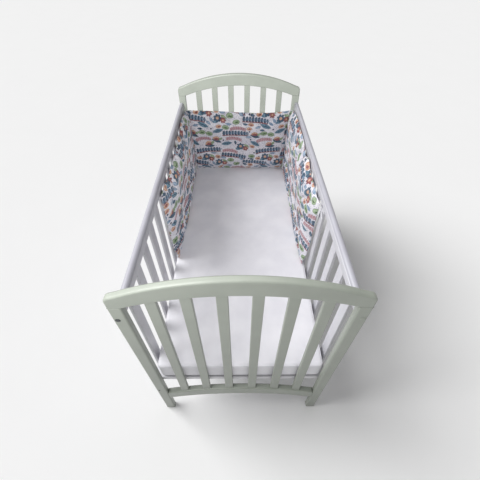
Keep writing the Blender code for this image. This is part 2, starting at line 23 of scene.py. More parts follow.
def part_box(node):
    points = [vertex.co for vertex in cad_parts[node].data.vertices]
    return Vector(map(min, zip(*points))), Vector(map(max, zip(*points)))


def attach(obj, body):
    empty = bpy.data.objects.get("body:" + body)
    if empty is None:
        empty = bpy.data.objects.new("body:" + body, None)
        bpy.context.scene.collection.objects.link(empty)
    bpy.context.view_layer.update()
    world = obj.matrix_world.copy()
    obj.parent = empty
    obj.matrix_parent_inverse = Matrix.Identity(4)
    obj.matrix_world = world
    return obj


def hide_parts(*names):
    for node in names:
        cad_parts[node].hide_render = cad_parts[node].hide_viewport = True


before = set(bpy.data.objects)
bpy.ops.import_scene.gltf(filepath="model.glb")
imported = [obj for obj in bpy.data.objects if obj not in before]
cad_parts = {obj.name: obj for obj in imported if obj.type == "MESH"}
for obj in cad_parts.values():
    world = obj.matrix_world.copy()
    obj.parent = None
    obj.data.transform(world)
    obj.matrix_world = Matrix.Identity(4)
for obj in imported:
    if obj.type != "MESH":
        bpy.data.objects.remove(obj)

log = logging.getLogger("crib_bumper")
BUMP_DEPTH = 0.0004  # metres between the lowest and the highest of a finish's own relief
BEVEL_STEPS = 4
SHARP_DEGREES = 30.0  # an edge is rounded where its faces turn by more
MIRROR = np.array([-1.0, 1.0])  # of (across, up) points
Point = tuple[float, float, float]


class Side(Enum):
    """A long side of the crib, with its sign along X."""

    LEFT = -1
    RIGHT = 1


class Stretch(Enum):
    """A stretch of the U that the bumper follows."""

    LEFT = "left"
    HEAD = "head"
    RIGHT = "right"


# ---------------------------------------------------------------- nodes, colours and finishes
def linear(hex_colour: str) -> tuple[float, float, float, float]:
    """Turns an sRGB hex colour into linear light.

    Args:
        hex_colour: such as "#9aa69a".

    Returns:
        Linear red, green and blue, and an alpha of 1.
    """
    srgb = np.array([int(hex_colour[i:i + 2], 16) for i in (1, 3, 5)]) / 255
    rgb = np.where(srgb <= 0.04045, srgb / 12.92, ((srgb + 0.055) / 1.055) ** 2.4)
    return (*rgb.tolist(), 1.0)


def add_node(tree: bpy.types.NodeTree, kind: str, links: Sequence | dict = (), **settings) -> bpy.types.Node:
    """Adds one shader node with its settings and links.

    Args:
        tree: the material's node tree.
        kind: the node's type without its "ShaderNode" prefix.
        links: what goes into its open sockets, in order, or by name: a node (its first open output), a
            socket, or a plain value. None leaves a socket as it is.
        settings: properties of the node, set before its sockets are read.

    Returns:
        The new node.
    """
    made = tree.nodes.new(f"ShaderNode{kind}")
    for name, value in settings.items():
        setattr(made, name, value)
    open_sockets = [s for s in made.inputs if s.enabled]
    for key, value in links.items() if isinstance(links, dict) else enumerate(links):
        socket = made.inputs[key] if isinstance(key, str) else open_sockets[key]
        if isinstance(value, bpy.types.Node):
            value = next(s for s in value.outputs if s.enabled)
        if isinstance(value, bpy.types.NodeSocket):
            tree.links.new(value, socket)
        elif value is not None:
            socket.default_value = value
    return made


def new_material(name: str, roughness: float, **sockets: float) -> tuple:
    """Starts a material.

    Args:
        name: the material's name.
        roughness: set on the shader's own socket.
        sockets: other plain values of the shader, with "_" for a space.

    Returns:
        The material, its node tree and its Principled shader.
    """
    made = bpy.data.materials.new(name)
    made.use_nodes = True
    shader = made.node_tree.nodes["Principled BSDF"]
    shader.inputs["Roughness"].default_value = roughness
    for socket, value in sockets.items():
        shader.inputs[socket.replace("_", " ")].default_value = value
    return made, made.node_tree, shader


def mottle(tree: bpy.types.NodeTree, place: bpy.types.NodeSocket, clouds_per_m: float, detail: float,
           shade: str, tone: str) -> bpy.types.Node:
    """Lets a colour wander softly between two near tones: the middle third of a noise, mixed.

    Args:
        tree: the material's node tree.
        place: where on the piece, in metres.
        clouds_per_m: how many clouds lie in a metre.
        detail: octaves of the noise.
        shade: sRGB hex of the darker tone.
        tone: sRGB hex of the lighter one.

    Returns:
        The mixing node.
    """
    cloud = add_node(tree, "TexNoise", {"Vector": place, "Scale": clouds_per_m, "Detail": detail})
    share = add_node(tree, "MapRange", [cloud, 0.35, 0.65, 0.0, 1.0])
    return add_node(tree, "Mix", [share, linear(shade), linear(tone)], data_type="RGBA")


def weave(tree: bpy.types.NodeTree, place: bpy.types.NodeSocket, thread_mm: float, fibres_per_m: float,
          ways: Point) -> bpy.types.Node:
    """Height of a plain weave: sin(x) * sin(y) + sin(z), one turn a thread, and loose fibre over it.

    Args:
        tree: the material's node tree.
        place: where on the cloth, in metres.
        thread_mm: distance between two threads.
        fibres_per_m: scale of the fibre's noise.
        ways: 1 for each axis that has threads, 0 for one that has none.

    Returns:
        The node whose value is the height.
    """
    turns_per_m = 2 * math.pi * 1000 / thread_mm
    turns = add_node(tree, "VectorMath", [place, tuple(turns_per_m * way for way in ways)],
                     operation="MULTIPLY")
    waves = add_node(tree, "VectorMath", [turns], operation="SINE")
    split = add_node(tree, "SeparateXYZ", [waves])
    threads = add_node(tree, "Math", [split.outputs[0], split.outputs[1]], operation="MULTIPLY")
    if ways[2]:
        threads = add_node(tree, "Math", [threads, split.outputs[2]], operation="ADD")
    fibre = add_node(tree, "TexNoise", {"Vector": place, "Scale": fibres_per_m, "Detail": 2.0})
    return add_node(tree, "Math", [threads, fibre], operation="ADD")


@dataclass(frozen=True)
class Lacquer:
    """Water-based satin lacquer sprayed on planed beech.

    It gives the eye an even colour, a soft broad sheen, a very faint grain that telegraphs through the film
    and a slight orange peel.
    """

    name: str
    tone: str
    shade: str
    roughness: float = 0.42
    coat: float = 0.12
    coat_roughness: float = 0.3
    mottle_mm: float = 90.0
    grain_mm: float = 9.0  # real pores are 0.1 mm; drawn coarser so that they show at all
    grain_stretch: float = 0.12  # of the grain's scale along Y and Z, where the boards run
    peel_mm: float = 2.5
    strength: float = 0.10

    def material(self) -> bpy.types.Material:
        """Builds the painted wood: mottled colour, long grain and orange peel in the bump.

        Returns:
            The material.
        """
        made, tree, shader = new_material(self.name, self.roughness, Coat_Weight=self.coat,
                                          Coat_Roughness=self.coat_roughness)
        place = add_node(tree, "TexCoord").outputs["Object"]
        colour = mottle(tree, place, 1000 / self.mottle_mm, 3.0, self.shade, self.tone)
        stretch = (1.0, self.grain_stretch, self.grain_stretch)
        stretched = add_node(tree, "Mapping", {"Vector": place, "Scale": stretch})
        grain = add_node(tree, "TexNoise", {"Vector": stretched, "Scale": 1000 / self.grain_mm,
                                            "Detail": 2.0})
        peel = add_node(tree, "TexNoise", {"Vector": place, "Scale": 1000 / self.peel_mm, "Detail": 1.0})
        both = add_node(tree, "Math", [grain, peel], operation="ADD")
        bump = add_node(tree, "Bump", {"Strength": self.strength, "Distance": BUMP_DEPTH, "Height": both})
        tree.links.new(colour.outputs[2], shader.inputs["Base Color"])
        tree.links.new(bump.outputs["Normal"], shader.inputs["Normal"])
        return made


@dataclass(frozen=True)
class PlainCloth:
    """Plain-woven white cotton, as on a mattress cover or a tape: matt, with a faint even weave."""

    name: str
    tone: str
    shade: str
    roughness: float = 0.88
    sheen: float = 0.15
    sheen_roughness: float = 0.5
    clouds_per_m: float = 9.0  # a soft cloud every 110 mm
    fibres_per_m: float = 420.0
    thread_mm: float = 2.4  # real threads are 0.3 mm; drawn coarser so that the weave shows
    strength: float = 0.22

    def material(self) -> bpy.types.Material:
        """Builds the cloth: crossed threads in the bump on every side, a soft mottle in the colour.

        Returns:
            The material.
        """
        made, tree, shader = new_material(self.name, self.roughness, Sheen_Weight=self.sheen,
                                          Sheen_Roughness=self.sheen_roughness)
        place = add_node(tree, "TexCoord").outputs["Object"]
        colour = mottle(tree, place, self.clouds_per_m, 3.0, self.shade, self.tone)
        height = weave(tree, place, self.thread_mm, self.fibres_per_m, (1.0, 1.0, 1.0))
        bump = add_node(tree, "Bump", {"Strength": self.strength, "Distance": BUMP_DEPTH, "Height": height})
        tree.links.new(colour.outputs[2], shader.inputs["Base Color"])
        tree.links.new(bump.outputs["Normal"], shader.inputs["Normal"])
        return made


@dataclass(frozen=True)
class EvenTone:
    """Moulded nylon or rubber, or matt paper: one plain tone, which a faint haze keeps from looking flat."""

    name: str
    tone: str
    roughness: float = 0.35
    specular: float = 0.5
    haze_per_m: float = 300.0
    haze_range: tuple[float, float] = (0.85, 1.15)  # of the tone

    def material(self) -> bpy.types.Material:
        """Builds the material, whose tone a noise makes a little darker and lighter.

        Returns:
            The material.
        """
        made, tree, shader = new_material(self.name, self.roughness, Specular_IOR_Level=self.specular)
        place = add_node(tree, "TexCoord").outputs["Object"]
        haze = add_node(tree, "TexNoise", {"Vector": place, "Scale": self.haze_per_m, "Detail": 2.0})
        share = add_node(tree, "MapRange", [haze, 0.3, 0.7, *self.haze_range])
        colour = add_node(tree, "VectorMath", {0: linear(self.tone)[:3], "Scale": share}, operation="SCALE")
        tree.links.new(colour.outputs[0], shader.inputs["Base Color"])
        return made


# ---------------------------------------------------------------- the print on the cotton
@dataclass(frozen=True)
class Ink:
    """A watercolour-like ink: a darker rim where the wash has dried, and a paler, cloudy middle."""

    rim: str
    wash: str


PETROL = Ink("#24374a", "#5d758a")
TEAL = Ink("#38596f", "#7f9dae")
SKY = Ink("#5b728c", "#a5b5c8")
BRICK = Ink("#6e3c42", "#a26c6b")
ROSE = Ink("#99686f", "#c4a2a6")
ORANGE = Ink("#aa7f65", "#d8b8a3")
LEAF = Ink("#627a5b", "#adbd9f")
PLUM = Ink("#2c2942", "#45425e")
MOSS = Ink("#3c5236", "#4f6b45")


@dataclass(frozen=True)
class Axes:
    """A shape's own two axes on the cloth."""

    tree: bpy.types.NodeTree
    point: bpy.types.Node  # the place in the cell round the motif's middle
    middle: tuple[float, float]  # of the shape, in metres, in that cell
    turn: float  # of its x axis, in radians

    def read(self, quarter: int, scale: float = 1.0) -> bpy.types.Node:
        """Reads the shape's x or y at a point: a dot product with the turned axis, less a shift.

        Args:
            quarter: 0 for x, 1 for y.
            scale: what the reading is multiplied by.

        Returns:
            The node whose value it is.
        """
        turn = self.turn + quarter * math.pi / 2
        way = (scale * math.cos(turn), scale * math.sin(turn), 0.0)
        along = add_node(self.tree, "VectorMath", [self.point, way], operation="DOT_PRODUCT")
        shift = way[0] * self.middle[0] + way[1] * self.middle[1]
        return add_node(self.tree, "Math", [along, shift], operation="SUBTRACT") if shift else along


@dataclass(frozen=True)
class Drop:
    """A single leaf, berry or drop: an ellipse, its ends drawn out where it is pointed."""

    half_length: float
    half_width: float
    pointed: bool = True

    def inside(self, axes: Axes, p: bpy.types.Node, q: bpy.types.Node) -> bpy.types.Node:
        """Depth inside the shape, which is 1 across in both directions of p and q.

        A pointed one is half_width * (1 - p^2 - |q|) deep; a round one half_width * (1 - sqrt(p^2 + q^2)).

        Args:
            axes: the shape's axes, whose tree takes the nodes.
            p: x / half_length.
            q: y / half_width.

        Returns:
            The node whose value is the depth in metres, negative outside.
        """
        tree = axes.tree
        if self.pointed:
            side = add_node(tree, "Math", [q], operation="ABSOLUTE")
            used = add_node(tree, "Math", [p, p, side], operation="MULTIPLY_ADD")
        else:
            side = add_node(tree, "Math", [q, q], operation="MULTIPLY")
            both = add_node(tree, "Math", [p, p, side], operation="MULTIPLY_ADD")
            used = add_node(tree, "Math", [both], operation="SQRT")
        return add_node(tree, "Math", [used, -self.half_width, self.half_width], operation="MULTIPLY_ADD")

    def depth(self, axes: Axes) -> bpy.types.Node:
        """How far a point lies inside, in metres: a node, as for every shape's depth."""
        return self.inside(axes, axes.read(0, 1 / self.half_length), axes.read(1, 1 / self.half_width))


@dataclass(frozen=True)
class Bloom:
    """A flower head: petals round a centre, its edge at radius * (1 - lobe + lobe * |cos(n a / 2)|)."""

    radius: float
    petals: int
    lobe: float = 0.34

    def depth(self, axes: Axes) -> bpy.types.Node:
        """How far a point lies inside the scalloped edge: the edge's radius there less the point's.

        Args:
            axes: the flower's axes, whose tree takes the nodes.

        Returns:
            The node whose value is the depth in metres, negative outside.
        """
        tree, x, y = axes.tree, axes.read(0), axes.read(1)
        angle = add_node(tree, "Math", [y, x], operation="ARCTAN2")
        turned = add_node(tree, "Math", [angle, self.petals / 2], operation="MULTIPLY")
        wave = add_node(tree, "Math", [turned], operation="COSINE")
        lobed = add_node(tree, "Math", [wave], operation="ABSOLUTE")
        edge = add_node(tree, "Math", [lobed, self.radius * self.lobe, self.radius * (1 - self.lobe)],
                        operation="MULTIPLY_ADD")
        square = add_node(tree, "Math", [y, y], operation="MULTIPLY")
        both = add_node(tree, "Math", [x, x, square], operation="MULTIPLY_ADD")
        reach = add_node(tree, "Math", [both], operation="SQRT")
        return add_node(tree, "Math", [edge, reach], operation="SUBTRACT")


@dataclass(frozen=True)
class Sprig:
    """Paired leaves along a bowed stem: one leaf, repeated every pitch and mirrored across the stem."""

    half_length: float
    pitch: float
    leaf: Drop
    tilt: float  # degrees between a leaf and the stem
    bow: float  # metres that the stem drops in a metre, squared
    stem: float = 0.0011  # its half width

    def depth(self, axes: Axes) -> bpy.types.Node:
        """How far a point lies inside a leaf or the stem.

        The stem's line is y = -bow * x^2. Along it x wraps round every pitch, and |y| mirrors the leaf.

        Args:
            axes: the sprig's axes, whose tree takes the nodes.

        Returns:
            The node whose value is the depth in metres, negative outside.
        """
        tree, x, y = axes.tree, axes.read(0), axes.read(1)
        square = add_node(tree, "Math", [x, x], operation="MULTIPLY")
        bowed = add_node(tree, "Math", [square, self.bow, y], operation="MULTIPLY_ADD")
        off = add_node(tree, "Math", [bowed], operation="ABSOLUTE")
        cos, sin = math.cos(math.radians(self.tilt)), math.sin(math.radians(self.tilt))
        long, wide = self.leaf.half_length, self.leaf.half_width
        # The cell is centred on the middle of the leaning leaf.
        lean = long * cos
        cell = add_node(tree, "Math", [x, lean + self.pitch / 2, lean - self.pitch / 2], operation="WRAP")
        p_across = add_node(tree, "Math", [cell, cos / long, -1.0], operation="MULTIPLY_ADD")
        p = add_node(tree, "Math", [off, sin / long, p_across], operation="MULTIPLY_ADD")
        q_across = add_node(tree, "Math", [cell, -sin / wide], operation="MULTIPLY")
        q = add_node(tree, "Math", [off, cos / wide, q_across], operation="MULTIPLY_ADD")
        leaf = self.leaf.inside(axes, p, q)
        stem = add_node(tree, "Math", [self.stem, off], operation="SUBTRACT")
        either = add_node(tree, "Math", [leaf, stem], operation="MAXIMUM")
        from_middle = add_node(tree, "Math", [x], operation="ABSOLUTE")
        room = add_node(tree, "Math", [self.half_length, from_middle], operation="SUBTRACT")
        return add_node(tree, "Math", [either, room], operation="MINIMUM")


@dataclass(frozen=True)
class Layer:
    """One shape of a motif in its ink, set off from the motif's middle in millimetres and degrees."""

    shape: Drop | Bloom | Sprig
    ink: Ink
    across: float = 0.0
    up: float = 0.0
    angle: float = 0.0


BOUGH = (Layer(Sprig(0.0740, 0.0172, Drop(0.0092, 0.0074), 62.0, 0.9, 0.0020), PETROL),
         Layer(Sprig(0.0700, 0.0172, Drop(0.0036, 0.0036, False), 90.0, 0.9), SKY, 10, 1),
         Layer(Sprig(0.0730, 0.0086, Drop(0.0022, 0.0030, False), 90.0, 0.9, 0.0016), BRICK, 0, -15))
POSY = (Layer(Drop(0.0230, 0.0105), TEAL, -20, -15, 24), Layer(Drop(0.0205, 0.0085), LEAF, 23, 12, -30),
        Layer(Bloom(0.0240, 7), PETROL, -12, 3), Layer(Bloom(0.0100, 7), ORANGE, -12, 3),
        Layer(Bloom(0.0180, 6), BRICK, 20, -7), Layer(Drop(0.0058, 0.0058, False), ORANGE, 20, -7))
TULIP = (Layer(Drop(0.0310, 0.0110), PETROL, 2, -13, -6), Layer(Drop(0.0220, 0.0145), ORANGE, -4, 3, 16),
         Layer(Drop(0.0195, 0.0085), BRICK, 0, -2, 10), Layer(Drop(0.0150, 0.0072), LEAF, 21, 6, 55))
ARC = (Layer(Sprig(0.0460, 0.0102, Drop(0.0070, 0.0046), 62.0, 5.5, 0.0016), ROSE),)
FROND = (Layer(Drop(0.0340, 0.0130), TEAL), Layer(Drop(0.0280, 0.0026), PETROL))
SHRUB = (Layer(Drop(0.0205, 0.0145, False), LEAF), Layer(Drop(0.0140, 0.0032), MOSS, 1, -2, 8))
SHELL = (Layer(Drop(0.0165, 0.0112, False), ORANGE), Layer(Drop(0.0095, 0.0042), BRICK, 2, -2, 15))
BUD = (Layer(Drop(0.0185, 0.0078), SKY),)
SLIP = (Layer(Drop(0.0155, 0.0068), PETROL),)
DOT = (Layer(Drop(0.0050, 0.0046, False), PLUM),)


@dataclass(frozen=True)
class Sprinkle:
    """Where a motif stands in the repeat, in millimetres from its corner, and how it is turned."""

    motif: tuple[Layer, ...]
    across: float
    up: float
    angle: float = 0.0


# Later ones lie over earlier ones.
SPRINKLES = tuple(Sprinkle(motif, *row) for motif, rows in (
    (BOUGH, ((43, 65, -5), (274, 118, -7), (122, 156, 7), (286, 279, 1))),
    (POSY, ((121, 100, -10), (330, 181, -10), (199, 63, -1))),
    (TULIP, ((44, 270, -12), (132, 199, 5), (178, 233, -15))),
    (ARC, ((279, 243, -3), (96, 235, 8), (303, 13, 0), (256, 155, -7))),
    (FROND, ((104, 24, -23), (45, 206, -33), (187, 289, 20))),
    (SHRUB, ((136, 269, -12), (257, 82, -2), (26, 111, -5), (294, 49, 12), (95, 277, 6), (232, 13, -9))),
    (SHELL, ((19, 35, -6), (179, 104, -15), (9, 9, 1), (28, 185, -25), (192, 18, 15))),
    (BUD, ((134, 38, -42), (249, 35, -5), (214, 98, -7), (152, 56, -60), (155, 131, 6), (6, 250, -7),
           (60, 20, 15))),
    (SLIP, ((288, 212, -80), (345, 38, -9), (84, 0, -4))),
    (FROND, ((236, 204, 12),)),
    (DOT, ((41, 137), (18, 234), (148, 2), (217, 226), (9, 93), (11, 290), (71, 106))),
    (BUD, ((322, 92, -30),)),
    (SHELL, ((66, 94, 5),)),
    (SLIP, ((27, 89, -10),)),
) for row in rows)


@dataclass(frozen=True)
class PrintedCotton:
    """Plain-woven cotton, reactive-printed: matt, soft sheen at grazing angles, a faint weave.

    The print is a tossed flower and leaf design in petrol, teal, brick, orange and green on white, on a
    repeat of 360 x 300 mm. Each motif's edge is sharp and darker, its middle a cloudy wash.
    """

    name: str = "printed_cotton"
    ground: str = "#dddbe1"
    ground_shade: str = "#cfcdd5"
    roughness: float = 0.86
    sheen: float = 0.18
    sheen_roughness: float = 0.45
    repeat: tuple[float, float] = (0.36, 0.30)
    edge: float = 0.0007  # metres over which a motif's edge fades
    wobble: float = 0.0022  # metres by which the ink's edges wander
    wobbles_per_m: float = 160.0
    wash_depth: float = 0.0030  # metres from the rim to the full wash
    washes_per_m: float = 70.0
    patches_per_m: float = 11.0  # of the ground's two tones
    speck_mm: float = 8.0  # between the small grey dots that are strewn over the ground
    speck_tone: str = "#74778a"
    speck_share: float = 0.85
    heather_share: float = 0.42  # of the dots' grey where the ground is heathered
    thread_mm: float = 1.9  # real threads are 0.25 mm; drawn coarser so that the weave shows
    fibres_per_m: float = 500.0
    strength: float = 0.20
    sprinkles: tuple[Sprinkle, ...] = SPRINKLES

    @staticmethod
    def axes(tree: bpy.types.NodeTree, point: bpy.types.Node, sprinkle: Sprinkle, layer: Layer) -> Axes:
        """Finds the axes of a layer in its motif's cell, turned with the motif.

        Args:
            tree: the material's node tree.
            point: the place in the cell round the motif's middle.
            sprinkle: where the motif stands and how it is turned.
            layer: one shape of the motif.

        Returns:
            The axes.
        """
        turn = math.radians(sprinkle.angle)
        cos, sin = math.cos(turn), math.sin(turn)
        across, up = layer.across / 1000, layer.up / 1000
        middle = (across * cos - up * sin, across * sin + up * cos)
        return Axes(tree, point, middle, turn + math.radians(layer.angle))

    def material(self) -> bpy.types.Material:
        """Builds the cloth: the ground, the motifs one over the other, then weave and fibre in the bump.

        Returns:
            The material.
        """
        made, tree, shader = new_material(self.name, self.roughness, Sheen_Weight=self.sheen,
                                          Sheen_Roughness=self.sheen_roughness)
        cut = add_node(tree, "UVMap", uv_map="cut").outputs[0]
        cloud = add_node(tree, "TexNoise", {"Vector": cut, "Scale": self.washes_per_m, "Detail": 4.0,
                                            "Roughness": 0.6})
        cloudy = add_node(tree, "MapRange", [cloud, 0.30, 0.70, 0.0, 1.0])
        wander = add_node(tree, "TexNoise", {"Vector": cut, "Scale": self.wobbles_per_m, "Detail": 2.0})
        heather = add_node(tree, "MapRange", [wander, 0.52, 0.70, 0.0, self.heather_share])
        offset = add_node(tree, "VectorMath", [wander.outputs["Color"], (0.5, 0.5, 0.5)],
                          operation="SUBTRACT")
        small = add_node(tree, "VectorMath", {0: offset, "Scale": self.wobble}, operation="SCALE")
        place = add_node(tree, "VectorMath", [cut, small], operation="ADD")
        colour = mottle(tree, cut, self.patches_per_m, 2.0, self.ground_shade, self.ground)
        specks = add_node(tree, "TexVoronoi", {"Vector": cut, "Scale": 1000 / self.speck_mm})
        speckled = add_node(tree, "MapRange", [specks, 0.20, 0.30, self.speck_share, 0.0])
        for share in (heather, speckled):
            colour = add_node(tree, "Mix", [share, colour, linear(self.speck_tone)], data_type="RGBA")
        half = (self.repeat[0] / 2, self.repeat[1] / 2, 1.0)
        for sprinkle in self.sprinkles:
            moved = add_node(tree, "VectorMath", [place, (sprinkle.across / 1000, sprinkle.up / 1000, 0.0)],
                             operation="SUBTRACT")
            wrapped = add_node(tree, "VectorMath", [moved, half, tuple(-h for h in half)], operation="WRAP")
            for layer in sprinkle.motif:
                ink = layer.ink
                depth = layer.shape.depth(self.axes(tree, wrapped, sprinkle, layer))
                inside = add_node(tree, "MapRange", [depth, -self.edge, self.edge, 0.0, 1.0])
                washed = add_node(tree, "MapRange", [depth, 0.0, self.wash_depth, 0.0, 1.0])
                pale = add_node(tree, "Math", [washed, cloudy], operation="MULTIPLY")
                tint = add_node(tree, "Mix", [pale, linear(ink.rim), linear(ink.wash)], data_type="RGBA")
                colour = add_node(tree, "Mix", [inside, colour, tint], data_type="RGBA")
        height = weave(tree, cut, self.thread_mm, self.fibres_per_m, (1.0, 1.0, 0.0))
        bump = add_node(tree, "Bump", {"Strength": self.strength, "Distance": BUMP_DEPTH, "Height": height})
        tree.links.new(colour.outputs[2], shader.inputs["Base Color"])
        tree.links.new(bump.outputs["Normal"], shader.inputs["Normal"])
        return made


# ---------------------------------------------------------------- meshes
def add_object(name: str, data: bpy.types.ID) -> bpy.types.Object:
    """Makes an object of some data and links it to the scene.

    Args:
        name: the object's name.
        data: a mesh, a light or a camera.

    Returns:
        The object.
    """
    made = bpy.data.objects.new(name, data)
    bpy.context.scene.collection.objects.link(made)
    return made


def put(name: str, vertices: np.ndarray, faces: Sequence, slot: str, finish: bpy.types.Material,
        *replaced: str) -> bpy.types.Object:
    """Makes one finished piece from arrays.

    Args:
        name: the piece's name.
        vertices: (n, 3) places in metres, in the frame of the model.
        faces: rows of vertex numbers, whose normals are then turned outwards.
        slot: the record's material slot; not used.
        finish: its material.
        replaced: CAD nodes that the piece stands for.

    Returns:
        The object, at the origin, riding on the only body.
    """
    mesh = bpy.data.meshes.new(name)
    mesh.from_pydata(vertices.tolist(), [], faces if isinstance(faces, list) else faces.tolist())
    bm = bmesh.new()
    bm.from_mesh(mesh)
    bmesh.ops.recalc_face_normals(bm, faces=bm.faces)
    bm.to_mesh(mesh)
    bm.free()
    mesh.shade_smooth()
    made = add_object(name, mesh)
    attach(made, "root")
    if replaced:
        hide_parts(*replaced)
    mesh.materials.append(finish)
    return made


def read(data: bpy.types.bpy_prop_collection, name: str, width: int = 1,
         kind: type = np.float64) -> np.ndarray:
    """Reads one property of all the elements of a mesh.

    Args:
        data: the elements, such as the mesh's edges.
        name: of the property.
        width: how many numbers it has.
        kind: what the numbers are.

    Returns:
        One row an element, or one number an element where the width is 1.
    """
    numbers = np.zeros(len(data) * width, kind)
    data.foreach_get(name, numbers)
    return numbers.reshape(-1, width) if width > 1 else numbers


def write(mesh: bpy.types.Mesh, name: str, domain: str, values: np.ndarray) -> None:
    """Adds a column of numbers to a mesh.

    Args:
        mesh: the mesh.
        name: of the column.
        domain: "POINT" or "EDGE".
        values: one number an element.
    """
    mesh.attributes.new(name, "FLOAT", domain).data.foreach_set("value", values.astype(np.float32))


def tube_faces(rings: int, around: int) -> np.ndarray:
    """Quads between consecutive rings of points, each ring closed.

    Args:
        rings: how many rings there are.
        around: how many points each has.

    Returns:
        (n, 4) point numbers.
    """
    first = np.arange(rings - 1)[:, None] * around
    j = np.arange(around)[None, :]
    k = (j + 1) % around
    return np.stack([first + j, first + k, first + around + k, first + around + j], axis=-1).reshape(-1, 4)


def capped_tube(rings: int, around: int) -> list[list[int]]:
    """The faces of a tube with a flat face at both ends.

    Args:
        rings: how many rings of points there are.
        around: how many points each has.

    Returns:
        Point numbers of the quads and of the two ends.
    """
    last = (rings - 1) * around
    return tube_faces(rings, around).tolist() + [list(range(around)), list(range(last, last + around))]


def lathe(name: str, centre: Point, axis: Point, profile: Sequence[tuple[float, float]],
          size: tuple[float, float], slot: str, finish: bpy.types.Material, steps: int = 32) -> None:
    """A turned piece: its profile spun round an axis, closed by small flats at both ends.

    Args:
        name: the piece's name.
        centre: where the height begins on the axis.
        axis: the way of the height.
        profile: (radius, height) points, as shares of the size.
        size: radius and height in metres.
        slot: the record's material slot.
        finish: its material.
        steps: points round the axis.
    """
    turn = np.array(Vector(axis).normalized().to_track_quat("Z", "Y").to_matrix())
    angle = np.linspace(0, 2 * math.pi, steps, endpoint=False)
    radius, height = (np.array(profile) * size).T
    rings = np.stack([radius[:, None] * np.cos(angle), radius[:, None] * np.sin(angle),
                      np.broadcast_to(height[:, None], (len(profile), steps))], axis=-1)
    points = rings.reshape(-1, 3) @ turn.T + np.array(centre)
    put(name, points, capped_tube(len(profile), steps), slot, finish)


def rounded(made: bpy.types.Object, radius: float, shares: np.ndarray | None = None) -> None:
    """Gives a piece a round bevel.

    Args:
        made: the piece.
        radius: of the rounding, in metres.
        shares: for each edge, the share of the radius that it gets; None rounds every sharp edge by the
            whole of it.
    """
    bevel = made.modifiers.new("rounded_edges", "BEVEL")
    bevel.width, bevel.segments = radius, BEVEL_STEPS
    bevel.use_clamp_overlap = False
    bevel.limit_method, bevel.angle_limit = "ANGLE", math.radians(SHARP_DEGREES)
    bevel.harden_normals = True
    if shares is not None:
        bevel.limit_method = "WEIGHT"
        write(made.data, "bevel_weight_edge", "EDGE", shares)


@dataclass(frozen=True)
class Board:
    """A board cut to an outline and rounded over along its edges."""

    name: str
    outline: np.ndarray  # (n, 2) points across and up
    start: float  # where the thickness begins along Y
    thickness: float
    radius: float
    rims: np.ndarray | None = None  # (n,) share of the radius for each stretch of the outline
    slot: str = "painted_sage"

    def build(self, finish: bpy.types.Material) -> None:
        """Extrudes the outline along Y, then rounds its rims with a bevel that keeps the flats flat.

        Args:
            finish: the board's material.
        """
        count = len(self.outline)
        flat = np.stack([self.outline[:, 0], np.full(count, self.start), self.outline[:, 1]], axis=1)
        points = np.concatenate([flat, flat + (0.0, self.thickness, 0.0)])
        caps = [list(range(count)), list(range(2 * count - 1, count - 1, -1))]
        made = put(self.name, points, tube_faces(2, count).tolist() + caps, self.slot, finish, self.name)
        shares = None
        if self.rims is not None:
            # An edge that runs along Y joins two points of the same number, and stays sharp.
            ends = np.sort(read(made.data.edges, "vertices", 2, np.int32), axis=1)
            first, second = (ends % count).T
            stretch = np.where(np.abs(first - second) > 1, count - 1, np.minimum(first, second))
            shares = np.where(first == second, 0.0, self.rims[stretch])
        rounded(made, self.radius, shares)


def timber(name: str, low: Vector, high: Vector, radius: float, slot: str, finish: bpy.types.Material,
           ends: float = 1.0) -> None:
    """A squared timber between two corners, with rounded edges, standing for the CAD node of its name.

    Args:
        name: the piece's name.
        low: lowest corner.
        high: highest corner.
        radius: of its long edges.
        slot: the record's material slot.
        finish: its material.
        ends: share of the radius for the edges round its two ends.
    """
    corners = np.stack(np.meshgrid(*zip(low, high), indexing="ij"), axis=-1).reshape(-1, 3)
    faces = [[0, 1, 3, 2], [4, 6, 7, 5], [0, 4, 5, 1], [2, 3, 7, 6], [0, 2, 6, 4], [1, 5, 7, 3]]
    made = put(name, corners, faces, slot, finish, name)
    pairs = read(made.data.edges, "vertices", 2, np.int32)
    ways = np.abs(np.diff(corners[pairs], axis=1)[:, 0])
    along = ways.argmax(axis=1) == int(np.argmax(np.array(high) - np.array(low)))
    rounded(made, radius, np.where(along, 1.0, ends))


def squared(node: str, radius: float, slot: str, finish: bpy.types.Material) -> None:
    """A squared timber that fills its CAD node's box and stands for it."""
    timber(node, *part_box(node), radius, slot, finish)


